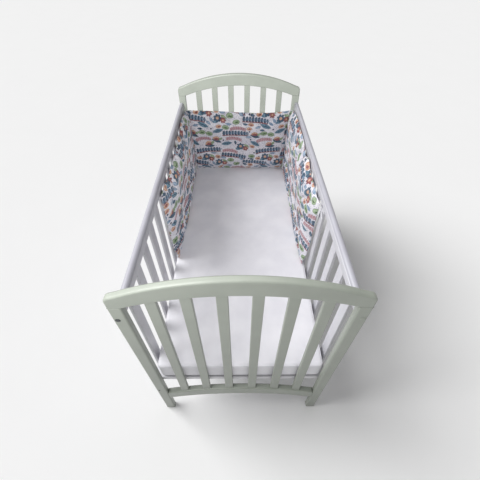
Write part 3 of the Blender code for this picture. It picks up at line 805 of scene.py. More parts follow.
# ---------------------------------------------------------------- the crib
@dataclass
class CribEnd:
    """One end of the crib: two legs, an arched top rail, an arched bottom rail and six slats between them."""

    prefix: str
    finish: bpy.types.Material
    rubber: bpy.types.Material
    top_radius: float = 0.72
    rail_radius: float = 0.80
    corner_radius: float = 0.020
    corner_degrees: float = 80.0
    corner_steps: int = 8
    edge_radius: float = 0.0068
    arch_share: float = 0.6  # of that radius under the top rail's arch
    bottom_share: float = 0.7  # on the bottom rail
    leg_share: float = 0.8  # on the legs
    seat_share: float = 0.12  # at a joint, where the edge is only eased
    slats: int = 6
    slat_radius: float = 0.0022
    glide_height: float = 0.0024
    glide_inset: float = 0.0012  # from the leg's faces
    glide_profile: tuple[tuple[float, float], ...] = (
        (0.02, 0.0), (0.86, 0.0), (0.97, 0.12), (1.0, 0.4), (1.0, 1.3), (0.02, 1.3))
    joint_gap: float = 0.0003
    steps: int = 64

    def box(self, word: str) -> tuple[Vector, Vector]:
        """The lowest and highest corner of this end's CAD node with that word in its name."""
        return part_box(f"{self.prefix}_{word}")

    def arc(self, apex: float, radius: float, x: np.ndarray) -> np.ndarray:
        """Points (x, height) of a circle whose top is at apex: height = apex - r + sqrt(r^2 - x^2).

        Args:
            apex: the circle's highest point, over the middle plane.
            radius: of the circle.
            x: places across.

        Returns:
            (n, 2) points.
        """
        return np.stack([x, apex - radius + np.sqrt(radius * radius - x * x)], axis=1)

    def fall(self, x: float) -> float:
        """How far a rail's arc falls from its top to x: r - sqrt(r^2 - x^2)."""
        return self.rail_radius - math.sqrt(self.rail_radius ** 2 - x ** 2)

    def top_rail(self) -> Board:
        """The arched top rail, with its rounded upper corners and flat seats on the legs.

        Returns:
            The board.
        """
        low, high = self.box("top_rail")
        inner, half = self.box("leg_right")[0].x, high.x
        under_apex = self.box("slat_3")[1].z + self.joint_gap + self.fall(self.box("slat_4")[0].x)
        under = self.arc(under_apex, self.rail_radius, np.linspace(-inner, inner, self.steps))
        across = half - self.corner_radius
        above = self.arc(high.z, self.top_radius, np.linspace(across, -across, self.steps))
        turn = np.radians(np.linspace(0, self.corner_degrees, self.corner_steps))
        right = np.stack([across + self.corner_radius * np.cos(turn),
                          above[0, 1] - self.corner_radius * (1 - np.sin(turn))], axis=1)
        left = (right * MIRROR)[::-1]
        seats = np.array([[-half, low.z], [half, low.z]])
        outline = np.concatenate([seats[:1], under, seats[1:], right, above[1:-1], left])
        rims = np.ones(len(outline))
        rims[1:self.steps] = self.arch_share
        rims[[0, self.steps]] = self.seat_share
        return Board(f"{self.prefix}_top_rail", outline, low.y, high.y - low.y, self.edge_radius, rims)

    def bottom_rail(self) -> Board:
        """The bottom rail, whose two edges are arcs of one radius.

        Returns:
            The board.
        """
        low, high = self.box("bottom_rail")
        x = np.linspace(low.x, high.x, self.steps)
        under = self.arc(low.z + self.fall(high.x), self.rail_radius, x)
        above = self.arc(high.z, self.rail_radius, x)[::-1]
        rims = np.ones(2 * self.steps)
        rims[[self.steps - 1, -1]] = self.seat_share
        return Board(f"{self.prefix}_bottom_rail", np.concatenate([under, above]), low.y, high.y - low.y,
                     self.edge_radius * self.bottom_share, rims)

    def slat(self, number: int) -> Board:
        """A slat whose ends follow the rails.

        Args:
            number: of the slat, from 1 at the left.

        Returns:
            The board.
        """
        low, high = self.box(f"slat_{number}")
        x = np.array([low.x, high.x])
        under = self.arc(self.box("bottom_rail")[1].z + self.joint_gap, self.rail_radius, x)
        apex = high.z + self.fall(min(abs(low.x), abs(high.x)))
        above = self.arc(apex, self.rail_radius, x)[::-1]
        return Board(f"{self.prefix}_slat_{number}", np.concatenate([under, above]), low.y, high.y - low.y,
                     self.slat_radius)

    def leg(self, word: str) -> None:
        """Builds a leg and the glide that it stands on.

        Args:
            word: "left" or "right".
        """
        name = f"{self.prefix}_leg_{word}"
        low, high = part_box(name)
        foot = Vector((low.x, low.y, low.z + self.glide_height))
        timber(name, foot, high, self.edge_radius * self.leg_share, "painted_sage", self.finish,
               self.seat_share)
        middle = (low + high) / 2
        size = ((high.y - low.y) / 2 - self.glide_inset, self.glide_height)
        lathe(f"{name}_glide", (middle.x, middle.y, 0.0), (0, 0, 1), self.glide_profile, size,
              "painted_sage", self.rubber)

    def build(self) -> None:
        """Builds the end's rails, its slats, and its legs on their glides."""
        for board in (self.top_rail(), self.bottom_rail(), *(self.slat(i + 1) for i in range(self.slats))):
            board.build(self.finish)
        for word in ("left", "right"):
            self.leg(word)
        log.info("%s end: arched rails, two legs on glides, %d slats", self.prefix, self.slats)


@dataclass
class CribSide:
    """A long side: a top rail whose round crown sits on a fine groove, a bottom rail and thirteen slats."""

    side: Side
    finish: bpy.types.Material
    rail_finish: bpy.types.Material
    slats: int = 13
    groove_depth: float = 0.0022
    groove_height: float = 0.0032
    edge: float = 0.0022
    edge_steps: int = 4
    end_ease: float = 0.0012  # by which the rail's flat ends are drawn in
    round_steps: int = 20
    crease_degrees: float = 40.0  # the rail is shaded smooth up to this turn
    bottom_edge: float = 0.0026
    slat_edge: float = 0.0018

    def rail_profile(self, width: float, bottom: float, top: float) -> np.ndarray:
        """The rail's section: a flat body with softened lower edges, a groove, a half-round top.

        Args:
            width: of the rail.
            bottom: its lowest height.
            top: its highest one.

        Returns:
            (n, 2) points across and up.
        """
        half = width / 2
        spring = top - half
        groove = spring - self.groove_height / 2
        soften = np.radians(np.linspace(-90, 0, self.edge_steps))
        low_x = half - self.edge + self.edge * np.cos(soften)
        low_z = bottom + self.edge + self.edge * np.sin(soften)
        right = np.stack([low_x, low_z], axis=1)
        notch = np.array([[half, spring - self.groove_height], [half - self.groove_depth, groove]])
        angle = np.linspace(0, math.pi, self.round_steps)
        crown = np.stack([half * np.cos(angle), spring + half * np.sin(angle)], axis=1)
        return np.concatenate([right, notch, crown, (notch * MIRROR)[::-1], (right * MIRROR)[::-1]])

    def top_rail(self, name: str) -> None:
        """Carries the rail's section along Y, through five rings whose outer ones are a little smaller.

        Args:
            name: of the rail's CAD node.
        """
        low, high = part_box(name)
        profile = self.rail_profile(high.x - low.x, low.z, high.z)
        ease = self.end_ease
        stations = np.array([low.y, low.y + ease, 0.0, high.y - ease, high.y])
        shrink = np.array([ease, 0.0, 0.0, 0.0, ease])
        centre = np.array([0.0, (low.z + high.z) / 2])
        scale = 1 - shrink[:, None, None] / (high.z - low.z) * 2
        section = centre + (profile - centre)[None] * scale
        rings = np.stack([(low.x + high.x) / 2 + section[..., 0],
                          np.broadcast_to(stations[:, None], section.shape[:2]), section[..., 1]], axis=-1)
        faces = capped_tube(len(stations), len(profile))
        rail = put(name, rings.reshape(-1, 3), faces, "painted_white", self.finish, name)
        rail.data.materials.append(self.rail_finish)
        heights = read(rail.data.polygons, "center", 3)[:, 2]
        crown = heights > high.z - (high.x - low.x) / 2 - self.groove_height / 2
        rail.data.polygons.foreach_set("material_index", crown.astype(np.int32))
        rail.data.set_sharp_from_angle(angle=math.radians(self.crease_degrees))

    def build(self) -> None:
        """Builds the side's two rails and its slats."""
        word = self.side.name.lower()
        self.top_rail(f"{word}_top_rail")
        squared(f"{word}_bottom_rail", self.bottom_edge, "painted_white", self.finish)
        for i in range(self.slats):
            squared(f"{word}_slat_{i + 1:02d}", self.slat_edge, "painted_white", self.finish)
        log.info("%s side: two rails and %d slats", word, self.slats)


@dataclass
class BoltCaps:
    """Caps over the frame bolts on the foot end's legs: dark on the left leg, painted over on the right."""

    dark: bpy.types.Material
    painted: bpy.types.Material
    proud: float = 0.0011
    upper: Point = (0.3175, 0.845, 0.0074)  # from the middle plane, up, and radius
    lower: Point = (0.3190, 0.248, 0.0034)
    profile: tuple[tuple[float, float], ...] = (
        (0.97, -0.5), (1.0, 0.0), (1.0, 0.45), (0.93, 0.8), (0.78, 0.95), (0.45, 1.0), (0.02, 1.02))

    def build(self) -> None:
        """Turns each cap: a low dome with an eased rim, seated on the leg's face."""
        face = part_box("foot_leg_left")[0].y
        for side, finish in ((Side.LEFT, self.dark), (Side.RIGHT, self.painted)):
            for word, (across, up, radius) in (("upper", self.upper), ("lower", self.lower)):
                lathe(f"bolt_cap_{side.name.lower()}_{word}", (side.value * across, face, up), (0, -1, 0),
                      self.profile, (radius, self.proud), "painted_sage", finish)
        log.info("four bolt caps on the foot end's legs")


# ---------------------------------------------------------------- base and mattress
def rounded_box(low: np.ndarray, high: np.ndarray, radius: float, spacing: float,
                steps: int = 4) -> tuple[np.ndarray, np.ndarray]:
    """A box with round edges and corners, as a closed grid of quads.

    Each face is a grid whose parameter runs straight over the core, then through 45 degrees of the edge's
    arc: point = core + radius * normalize(tan(a), tan(b), 1), with a and b the two edge angles.

    Args:
        low: lowest corner.
        high: highest corner.
        radius: of the edges.
        spacing: of the grid on the flats.
        steps: of half an edge's arc.

    Returns:
        Vertices and quads.
    """
    middle, core = (low + high) / 2, (high - low) / 2 - radius
    samples = []
    for half in core:
        count = max(2, round(2 * half / spacing) + 1)
        flat = np.linspace(-half, half, count)
        arc = np.linspace(0, math.pi / 4, steps + 1)[1:]
        samples.append((np.concatenate([np.full(steps, -half), flat, np.full(steps, half)]),
                        np.concatenate([-arc[::-1], np.zeros(count), arc])))
    points, quads, used = [], [], 0
    for axis in range(3):
        u, v = (axis + 1) % 3, (axis + 2) % 3
        (core_u, turn_u), (core_v, turn_v) = samples[u], samples[v]
        for sign in (-1, 1):
            shape = (len(core_u), len(core_v))
            way = np.zeros(shape + (3,))
            way[..., u], way[..., v] = np.tan(turn_u)[:, None], np.tan(turn_v)[None, :]
            way[..., axis] = sign
            way /= np.linalg.norm(way, axis=-1, keepdims=True)
            place = np.zeros(shape + (3,))
            place[..., u], place[..., v] = core_u[:, None], core_v[None, :]
            place[..., axis] = sign * core[axis]
            points.append((middle + place + radius * way).reshape(-1, 3))
            number = used + np.arange(shape[0] * shape[1]).reshape(shape)
            quads.append(np.stack([number[:-1, :-1], number[1:, :-1], number[1:, 1:], number[:-1, 1:]],
                                  axis=-1).reshape(-1, 4))
            used += shape[0] * shape[1]
    every = np.concatenate(points)
    _, first, where = np.unique(np.round(every, 6), axis=0, return_index=True, return_inverse=True)
    return every[first], where.reshape(-1)[np.concatenate(quads)]


@dataclass
class MattressOnBase:
    """A foam mattress in its cotton cover, with piped edges, on a white sealed board."""

    cover: bpy.types.Material
    board: bpy.types.Material
    base_edge: float = 0.0016
    edge_radius: float = 0.0140
    spacing: float = 0.0125
    piping_radius: float = 0.0017
    piping_inset: float = 0.0045
    piping_rise: float = 0.0005  # by which it lies nearer to the mattress's middle than that
    piping_bed: float = 0.6  # share of its radius by which it stands out of the cover's corner
    piping_steps: int = 420
    softness: float = 0.0009
    flatness: int = 8  # the higher, the nearer to the edges the soft top reaches
    hollows: tuple[tuple[float, Point, float], ...] = (  # length in metres, direction and phase
        (0.23, (1, 0.3, 0), 0.4), (0.31, (0.2, 1, 0), 1.9), (0.17, (0.7, -1, 0), 0.8))

    def ripples(self, points: np.ndarray) -> np.ndarray:
        """The mean of the hollows' plane waves, each sin(2 pi d.p / length + phase).

        Args:
            points: (n, 3) places.

        Returns:
            (n,) heights from -1 to 1.
        """
        total = np.zeros(len(points))
        for length, way, phase in self.hollows:
            ahead = np.array(way) / np.linalg.norm(way)
            total += np.sin(points @ ahead * (2 * math.pi / length) + phase)
        return total / len(self.hollows)

    def piping_path(self, low: np.ndarray, high: np.ndarray, z: float) -> np.ndarray:
        """A rounded rectangle at height z, just outside the cover's edge arc, in even steps.

        Args:
            low: the mattress's lowest corner.
            high: its highest one.
            z: the height.

        Returns:
            (n, 3) points, the last one a step before the first.
        """
        core = (high[:2] - low[:2]) / 2 - self.edge_radius
        out = self.edge_radius - self.piping_inset + self.piping_radius * self.piping_bed
        angle = np.linspace(0, math.pi / 2, 7)
        arc = np.stack([np.cos(angle), np.sin(angle)], axis=1) * out
        runs = []
        for corner, signs in enumerate(((1, 1), (-1, 1), (-1, -1), (1, -1))):
            cos, sin = math.cos(corner * math.pi / 2), math.sin(corner * math.pi / 2)
            runs.append(arc @ np.array([[cos, sin], [-sin, cos]]) + signs * core)
        closed = np.concatenate([*runs, runs[0][:1]])
        walked = np.concatenate([[0], np.cumsum(np.linalg.norm(np.diff(closed, axis=0), axis=1))])
        even = np.linspace(0, walked[-1], self.piping_steps, endpoint=False)
        x, y = (np.interp(even, walked, column) for column in closed.T)
        return np.stack([x, y, np.full(self.piping_steps, z)], axis=1)

    def piping(self, name: str, path: np.ndarray) -> None:
        """Builds a round cord along a closed level path.

        Args:
            name: the piece's name.
            path: (n, 3) points.
        """
        ahead = np.roll(path, -1, axis=0) - np.roll(path, 1, axis=0)
        out = np.stack([ahead[:, 1], -ahead[:, 0], np.zeros(len(path))], axis=1)
        out /= np.linalg.norm(out, axis=1, keepdims=True)
        angle = np.linspace(0, 2 * math.pi, 8, endpoint=False)[None, :, None]
        tube = path[:, None] + self.piping_radius * (np.cos(angle) * out[:, None]
                                                     + np.sin(angle) * np.array([0, 0, 1.0]))
        around = angle.size
        faces = tube_faces(len(path) + 1, around) % (len(path) * around)
        put(name, tube.reshape(-1, 3), faces, "mattress_cover", self.cover)

    def build(self) -> None:
        """Builds the base, the cover's crowned form and the two cords of piping."""
        squared("base_board", self.base_edge, "base_board", self.board)
        low, high = (np.array(corner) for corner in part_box("mattress"))
        points, quads = rounded_box(low, high, self.edge_radius, self.spacing)
        middle, half = (low + high) / 2, (high - low) / 2
        # The top has faint soft hollows, which run out towards its edges.
        share = (np.abs(points - middle) / half)[:, :2].max(axis=1)
        inside = np.clip(1 - share ** self.flatness, 0, 1)
        top = np.clip((points[:, 2] - middle[2]) / half[2], 0, 1) ** self.flatness
        points[:, 2] -= top * inside * self.softness * (1 + self.ripples(points))
        mattress = put("mattress", points, quads, "mattress_cover", self.cover, "mattress")
        inset = self.piping_inset + self.piping_rise
        for word, z in (("upper", high[2] - inset), ("lower", low[2] + inset)):
            self.piping(f"mattress_piping_{word}", self.piping_path(low, high, z))
        log.info("mattress with piped edges on its base")


# ---------------------------------------------------------------- the bumper
@dataclass(frozen=True)
class TopPoint:
    """Height of the top seam at a share of a stretch."""

    stretch: Stretch
    along: float
    height: float


@dataclass(frozen=True)
class Form:
    """How far the low and high parts lean into the crib there, and how full they are (shares)."""

    stretch: Stretch
    along: float
    lean_low: float
    lean_high: float
    fill_low: float
    fill_high: float


@dataclass(frozen=True)
class Crease:
    """A soft trough (a ridge where depth is negative) from one place on the inner face to another.

    along is metres walked from the left end, up is the share of the height; width is its half width.
    """

    along_a: float
    up_a: float
    along_b: float
    up_b: float
    width: float
    depth: float


def smooth_table(keys: np.ndarray, values: np.ndarray, at: np.ndarray) -> np.ndarray:
    """A smooth curve through a table's rows: a cubic Hermite with the rows' own slopes.

    Args:
        keys: where the rows stand, rising.
        values: what they hold.
        at: where the curve is wanted.

    Returns:
        The curve's values.
    """
    slopes = np.gradient(values, keys)
    i = np.clip(np.searchsorted(keys, at) - 1, 0, len(keys) - 2)
    step = keys[i + 1] - keys[i]
    t = (at - keys[i]) / step
    return ((1 + 2 * t) * (1 - t) ** 2 * values[i] + t * (1 - t) ** 2 * step * slopes[i]
            + t * t * (3 - 2 * t) * values[i + 1] + t * t * (t - 1) * step * slopes[i + 1])


@dataclass
class BumperPath:
    """The U that the bumper's back follows: left side, corner, head, corner, right side."""

    back_x: float = 0.3035
    back_y: float = 0.6010
    corner_radius: float = 0.018
    left_end_y: float = -0.134
    right_end_y: float = -0.168

    def __post_init__(self) -> None:
        """Works out the stretches' lengths and where each starts."""
        r = self.corner_radius
        self.turn = math.pi / 2 * r
        self.left = self.back_y - r - self.left_end_y
        self.head = 2 * (self.back_x - r)
        self.right = self.back_y - r - self.right_end_y
        self.starts = {Stretch.LEFT: 0.0, Stretch.HEAD: self.left + self.turn,
                       Stretch.RIGHT: self.left + 2 * self.turn + self.head}
        self.lengths = {Stretch.LEFT: self.left, Stretch.HEAD: self.head, Stretch.RIGHT: self.right}
        self.total = self.starts[Stretch.RIGHT] + self.right
        self.corners = (self.left + self.turn / 2, self.starts[Stretch.RIGHT] - self.turn / 2)

    def walked(self, stretch: Stretch, along: float) -> float:
        """Metres from the left end of a place given as a share of a stretch."""
        return self.starts[stretch] + along * self.lengths[stretch]

    def place(self, s: np.ndarray) -> tuple[np.ndarray, np.ndarray]:
        """Follows the line.

        The inward way turns through a quarter circle at each head corner, and the place is the arc's or the
        straight's centre less corner_radius times that way.

        Args:
            s: distances walked, in metres.

        Returns:
            (n, 2) points on the line, and (n, 2) ways into the crib.
        """
        r, cx, cy = self.corner_radius, self.back_x - self.corner_radius, self.back_y - self.corner_radius
        turn_a = np.clip((s - self.left) / self.turn, 0, 1) * math.pi / 2
        turn_b = np.clip((s - self.starts[Stretch.RIGHT] + self.turn) / self.turn, 0, 1) * math.pi / 2
        angle = turn_a + turn_b
        inward = np.stack([np.cos(angle), -np.sin(angle)], axis=1)
        centre_x = -cx + np.clip(s - self.starts[Stretch.HEAD], 0, self.head)
        on_right = np.maximum(s - self.starts[Stretch.RIGHT], 0)
        centre_y = np.where(s < self.starts[Stretch.HEAD], self.left_end_y + np.minimum(s, self.left),
                            cy - on_right)
        centre_y = np.minimum(centre_y, cy)
        return np.stack([centre_x - r * inward[:, 0], centre_y - r * inward[:, 1]], axis=1), inward


LEFT, HEAD, RIGHT = Stretch.LEFT, Stretch.HEAD, Stretch.RIGHT
TOP_EDGE = tuple(TopPoint(stretch, *row) for stretch, rows in (
    (LEFT, (
        (0.00, 0.832), (0.06, 0.830), (0.14, 0.824), (0.22, 0.813), (0.30, 0.820), (0.37, 0.815),
        (0.44, 0.822), (0.52, 0.814), (0.60, 0.838), (0.68, 0.818), (0.74, 0.842), (0.86, 0.843),
        (1.00, 0.829))),
    (HEAD, (
        (0.12, 0.824), (0.32, 0.820), (0.50, 0.813), (0.70, 0.809), (0.88, 0.813))),
    (RIGHT, (
        (0.00, 0.829), (0.12, 0.852), (0.34, 0.856), (0.48, 0.850), (0.575, 0.826), (0.665, 0.848),
        (0.73, 0.824), (0.80, 0.823), (0.87, 0.822), (0.93, 0.818), (1.00, 0.828))),
) for row in rows)
FORMS = tuple(Form(stretch, *row) for stretch, rows in (
    (LEFT, (
        (0.00, 0.000, 0.000, 0.30, 0.45), (0.12, 0.000, 0.001, 0.45, 0.75),
        (0.26, 0.003, 0.003, 0.85, 0.95), (0.45, 0.010, 0.003, 1.00, 1.00),
        (0.72, 0.009, 0.001, 1.00, 0.90), (1.00, 0.001, 0.000, 0.95, 0.85))),
    (HEAD, ((0.50, 0.003, 0.001, 1.00, 0.90),)),
    (RIGHT, (
        (0.00, 0.000, 0.000, 0.85, 0.85), (0.30, 0.001, 0.001, 0.80, 0.85),
        (0.60, 0.002, 0.002, 0.82, 1.00), (0.82, 0.001, 0.004, 0.72, 1.00),
        (0.93, 0.000, 0.003, 0.55, 0.85), (1.00, 0.000, 0.000, 0.40, 0.60))),
) for row in rows)
CREASES = tuple(Crease(*row) for row in (
    (0.68, 0.92, 0.34, 0.44, 0.017, 0.0065), (0.68, 0.66, 0.28, 0.26, 0.016, 0.0060),
    (0.52, 0.88, 0.18, 0.62, 0.016, 0.0042), (0.32, 0.50, 0.03, 0.20, 0.016, 0.0055),
    (0.24, 0.34, 0.02, 0.10, 0.015, 0.0050), (0.14, 0.90, 0.02, 0.62, 0.015, 0.0036),
    (0.78, 0.82, 0.95, 0.93, 0.015, 0.0036), (0.80, 0.36, 1.04, 0.24, 0.017, 0.0040),
    (1.06, 0.82, 1.23, 0.92, 0.015, 0.0034), (1.08, 0.42, 1.24, 0.28, 0.016, 0.0038),
    (1.34, 0.80, 1.56, 0.56, 0.016, 0.0050), (1.35, 0.36, 1.72, 0.19, 0.015, 0.0062),
    (1.42, 0.20, 1.88, 0.10, 0.013, 0.0050), (1.745, 0.99, 1.68, 0.70, 0.014, 0.0066),
    (1.755, 0.99, 1.81, 0.68, 0.014, 0.0060), (2.01, 0.96, 1.90, 0.58, 0.015, 0.0058),
    (2.00, 0.52, 1.83, 0.24, 0.016, 0.0064), (2.01, 0.34, 1.88, 0.12, 0.015, 0.0056),
))
# Finer ones, which are pressed into the filled cloth: long folds first.
FOLDS = tuple(Crease(*row) for row in (
    (0.62, 0.30, 0.28, 0.11, 0.009, 0.0042), (0.50, 0.19, 0.13, 0.06, 0.009, 0.0040),
    (0.71, 0.50, 0.42, 0.30, 0.009, 0.0040), (0.70, 0.74, 0.50, 0.62, 0.009, 0.0034),
    (0.46, 0.42, 0.14, 0.24, 0.009, 0.0036), (1.32, 0.31, 1.67, 0.22, 0.009, 0.0046),
    (1.36, 0.17, 1.80, 0.13, 0.009, 0.0044), (1.50, 0.28, 1.91, 0.20, 0.008, 0.0042),
    (1.31, 0.54, 1.56, 0.37, 0.009, 0.0036), (1.60, 0.44, 1.86, 0.34, 0.009, 0.0032),
    (0.76, 0.60, 0.93, 0.52, 0.010, 0.0026), (0.90, 0.16, 1.16, 0.11, 0.009, 0.0034),
    (1.02, 0.66, 1.22, 0.60, 0.010, 0.0026), (0.72, 0.80, 0.42, 0.52, 0.007, 0.0030),
    (0.66, 0.52, 0.36, 0.20, 0.007, 0.0030), (0.60, 0.96, 0.44, 0.78, 0.006, 0.0024),
    (0.22, 0.72, 0.05, 0.44, 0.007, 0.0026), (0.36, 0.14, 0.16, 0.08, 0.007, 0.0022),
    (1.37, 0.62, 1.50, 0.46, 0.007, 0.0024), (1.38, 0.26, 1.58, 0.16, 0.007, 0.0026),
    (1.74, 0.94, 1.71, 0.60, 0.006, 0.0028), (1.76, 0.95, 1.84, 0.56, 0.006, 0.0026),
    (1.98, 0.78, 1.88, 0.42, 0.007, 0.0028), (2.01, 0.20, 1.92, 0.06, 0.006, 0.0024),
    # Short puckers that run down from the top seam, up from the bottom seam and in from the two ends.
    *((s, 1.06, s + lean, 0.80, 0.0065, 0.0036) for s, lean in (
        (0.07, 0.020), (0.15, -0.012), (0.235, 0.018), (0.33, 0.010), (0.41, -0.020), (0.50, 0.016),
        (0.585, -0.010), (0.655, 0.014), (0.79, 0.012), (0.88, -0.010), (0.97, 0.016), (1.06, -0.014),
        (1.15, 0.010), (1.22, -0.008), (1.33, 0.016), (1.42, -0.012), (1.51, 0.020), (1.60, 0.012),
        (1.68, -0.020), (1.73, -0.012), (1.77, 0.012), (1.82, 0.024), (1.89, 0.010), (1.96, -0.014))),
    *((s, -0.06, s + lean, 0.17, 0.0065, 0.0034) for s, lean in (
        (0.06, 0.016), (0.14, -0.014), (0.24, 0.018), (0.32, -0.010), (0.43, 0.020), (0.53, 0.010),
        (0.61, -0.014), (0.80, 0.010), (0.93, -0.012), (1.04, 0.016), (1.17, -0.010), (1.34, 0.016),
        (1.44, -0.016), (1.55, 0.020), (1.66, -0.012), (1.76, 0.016), (1.85, -0.010), (1.95, 0.012))),
    *((end, up, end + run, up + lean, 0.0065, 0.0040) for end, run, up, lean in (
        (-0.01, 0.07, 0.14, 0.05), (-0.01, 0.06, 0.33, -0.04), (-0.01, 0.08, 0.50, 0.06),
        (-0.01, 0.06, 0.68, -0.03), (-0.01, 0.07, 0.84, 0.03), (2.05, -0.07, 0.12, 0.04),
        (2.05, -0.08, 0.29, -0.05), (2.05, -0.07, 0.46, 0.05), (2.05, -0.09, 0.63, -0.06),
        (2.05, -0.07, 0.80, 0.03))),
))


@dataclass
class PaddedBumper:
    """One padded panel, sewn shut along its four edges, that stands on the mattress in a U."""

    finish: bpy.types.Material
    path: BumperPath
    spacing: float = 0.0084
    rows: int = 46
    crowd: float = 0.10  # the rows follow a half turn's cosine, less this share of it at both seams
    pad_thickness: float = 0.031
    seam_thickness: float = 0.0030
    seam_rise: float = 0.0010  # by which the top seam rises and falls with its gathers
    seam_rest: float = 0.0006  # of the bottom seam over the mattress, beside the clearance
    closing: tuple[float, float] = (0.0045, 1.2)  # reach and power of the two faces' meeting at the rim
    end_fullness: float = 0.016
    channel_width: float = 0.028
    channel_depth: float = 0.60
    channel_calm: float = 0.6  # share of the fine folds that a channel takes away
    foot_shift: float = 0.0150
    foot_reach: float = 0.16
    low_lean: tuple[float, float] = (0.24, 0.22)
    high_lean: tuple[float, float] = (0.72, 0.20)
    back_lean_share: float = 0.5
    middle_height: float = 0.40
    pucker_depth: float = 0.0022
    pucker_reach: float = 0.026
    fold_gain: float = 2.1
    steep: tuple[float, float] = (0.55, 1.35)  # shares of a fold's width above and below its line
    core: tuple[float, float] = (0.26, 0.85)  # the same for the second pressing of a main crease
    core_depth: float = 1.15
    waver: float = 0.35  # share of a crease's width by which its line bends to and fro
    crumple_depth: float = 0.0013
    ridges: tuple[Point, ...] = ((0.021, 62, 0.3), (0.017, -48, 1.9), (0.013, 78, 4.1))
    bulge: float = 0.0022  # how far the back swells out between two slats
    slat_pitch: float = 0.0898
    slat_first: float = -0.539
    head_pitch: float = 0.0843
    clearance: float = 0.0003
    back_print: tuple[float, float] = (0.11, 0.05)  # metres by which the back's cotton is cut elsewhere
    spare_reach: float = 0.05  # of the spare cloth from a seam
    calm_reach: float = 0.007  # of the seam's own tightness, where no fold shows

    def corner_share(self, s: np.ndarray) -> np.ndarray:
        """How much of a head corner's channel is felt: exp(-(distance / width)^2).

        Args:
            s: distances walked.

        Returns:
            Shares from 0 to 1.
        """
        nearest = np.min(np.abs(s[:, None] - np.array(self.path.corners)[None, :]), axis=1)
        return np.exp(-((nearest / self.channel_width) ** 2))

    def rim_distance(self, s: np.ndarray, up: np.ndarray) -> np.ndarray:
        """Metres to the nearest of the four seams, for arrays that broadcast to one shape.

        Args:
            s: distances walked.
            up: shares of the height.

        Returns:
            Metres, in the arrays' common shape.
        """
        return np.minimum(np.minimum(up, 1 - up) * self.middle_height,
                          np.maximum(np.minimum(s, self.path.total - s), 0))

    def crease_depth(self, rows: Sequence[Crease], s: np.ndarray, up: np.ndarray,
                     above: float = 1.0, below: float = 1.0) -> np.ndarray:
        """Depth of some creases.

        Each falls off as exp(-|distance / width|^1.7) from a line that wavers, and fades at its two ends.
        The cloth hangs over a fold, so the side above it can be steeper than the side below.

        Args:
            rows: the creases.
            s: distances walked.
            up: shares of the height.
            above: share of each width to draw at over its line.
            below: the same under its line.

        Returns:
            Metres, in the arrays' common shape.
        """
        total = np.zeros(np.broadcast(s, up).shape)
        for row in rows:
            ax, az = row.along_a, row.up_a * self.middle_height
            dx, dz = row.along_b - ax, row.up_b * self.middle_height - az
            length = math.hypot(dx, dz)
            t = ((s - ax) * dx + (up * self.middle_height - az) * dz) / length ** 2
            bend = self.waver * row.width * np.sin(3.0 * math.pi * t + row.along_a * 40)
            off = ((s - ax) * dz - (up * self.middle_height - az) * dx) / length + bend
            width = row.width * np.where(off * -np.sign(dx) > 0, above, below)
            fade = np.clip(1.0 - np.abs(2 * np.clip(t, -0.2, 1.2) - 1) ** 3, 0, 1)
            total += row.depth * fade * np.exp(-np.abs(off / width) ** 1.7)
        return total

    def crumples(self, s: np.ndarray, up: np.ndarray) -> np.ndarray:
        """Small soft wrinkles: three sets of wavering ridges that come and go.

        A ridge is (1 - |sin(distance / length + waver)|)^2; a slow wave masks each set. Each row of ridges
        holds a set's length in metres, its direction in degrees and its phase.

        Args:
            s: distances walked.
            up: shares of the height.

        Returns:
            Heights from 0 to about 1.
        """
        z = up * self.middle_height
        total = np.zeros(np.shape(s))
        for length, degrees, phase in self.ridges:
            cos, sin = math.cos(math.radians(degrees)), math.sin(math.radians(degrees))
            ahead, beside = s * cos + z * sin, s * sin - z * cos
            waver = 1.6 * np.sin(beside * 21 + phase) + 1.1 * np.sin(ahead * 13 + beside * 9 + 2 * phase)
            mask = np.clip(0.5 + 0.9 * np.sin(s * 17 + 3 * phase) * np.sin(z * 15 + s * 5 + phase), 0, 1)
            total += mask * (1 - np.abs(np.sin(ahead / length + waver))) ** 2
        return total / 2

    def puckers(self, s: np.ndarray) -> np.ndarray:
        """The sewing's small gathers along a seam: three waves, 31, 19 and 47 mm long, that waver.

        Args:
            s: distances walked.

        Returns:
            Heights from -1 to 1.
        """
        slow = np.sin(s * 37.0 + 0.6) * np.sin(s * 11.0 + 2.0)
        waves = (np.sin(s * 2 * math.pi / 0.031 + 2.2 * slow)
                 + 0.7 * np.sin(s * 2 * math.pi / 0.019 + 3 * slow)
                 + 0.5 * np.sin(s * 2 * math.pi / 0.047))
        return waves / 2.2 * (0.7 + 0.3 * np.sin(s * 9.0))

    def faces(self) -> tuple[np.ndarray, np.ndarray, np.ndarray, np.ndarray]:
        """Works out the two faces of the panel.

        The back runs up the slats, its foot stepped in onto the mattress. The front is the back plus a
        thickness that is crowned between the seams, falls away at the ends and is pinched at the corners.

        Returns:
            Front points, back points (stations x rows x 3), distances walked and shares of the height.
        """
        path = self.path
        s = np.linspace(0, path.total, round(path.total / self.spacing) + 1)
        line, inward = path.place(s)
        keys = np.array([path.walked(p.stretch, p.along) for p in TOP_EDGE])
        top = smooth_table(keys, np.array([p.height for p in TOP_EDGE]), s)
        top = top + self.seam_rise * self.puckers(s)
        keys = np.array([path.walked(p.stretch, p.along) for p in FORMS])
        lean_low, lean_high, fill_low, fill_high = (
            smooth_table(keys, np.array([getattr(p, column) for p in FORMS]), s)[:, None]
            for column in ("lean_low", "lean_high", "fill_low", "fill_high"))

        # Rows stand closer together near the two seams, where the section turns.
        up = -np.cos(np.linspace(self.crowd, 1 - self.crowd, self.rows) * math.pi)
        up = ((up - up[0]) / (up[-1] - up[0]))[None, :]
        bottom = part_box("mattress")[1].z + self.clearance + self.seam_rest
        z = bottom + up * (top - bottom)[:, None]

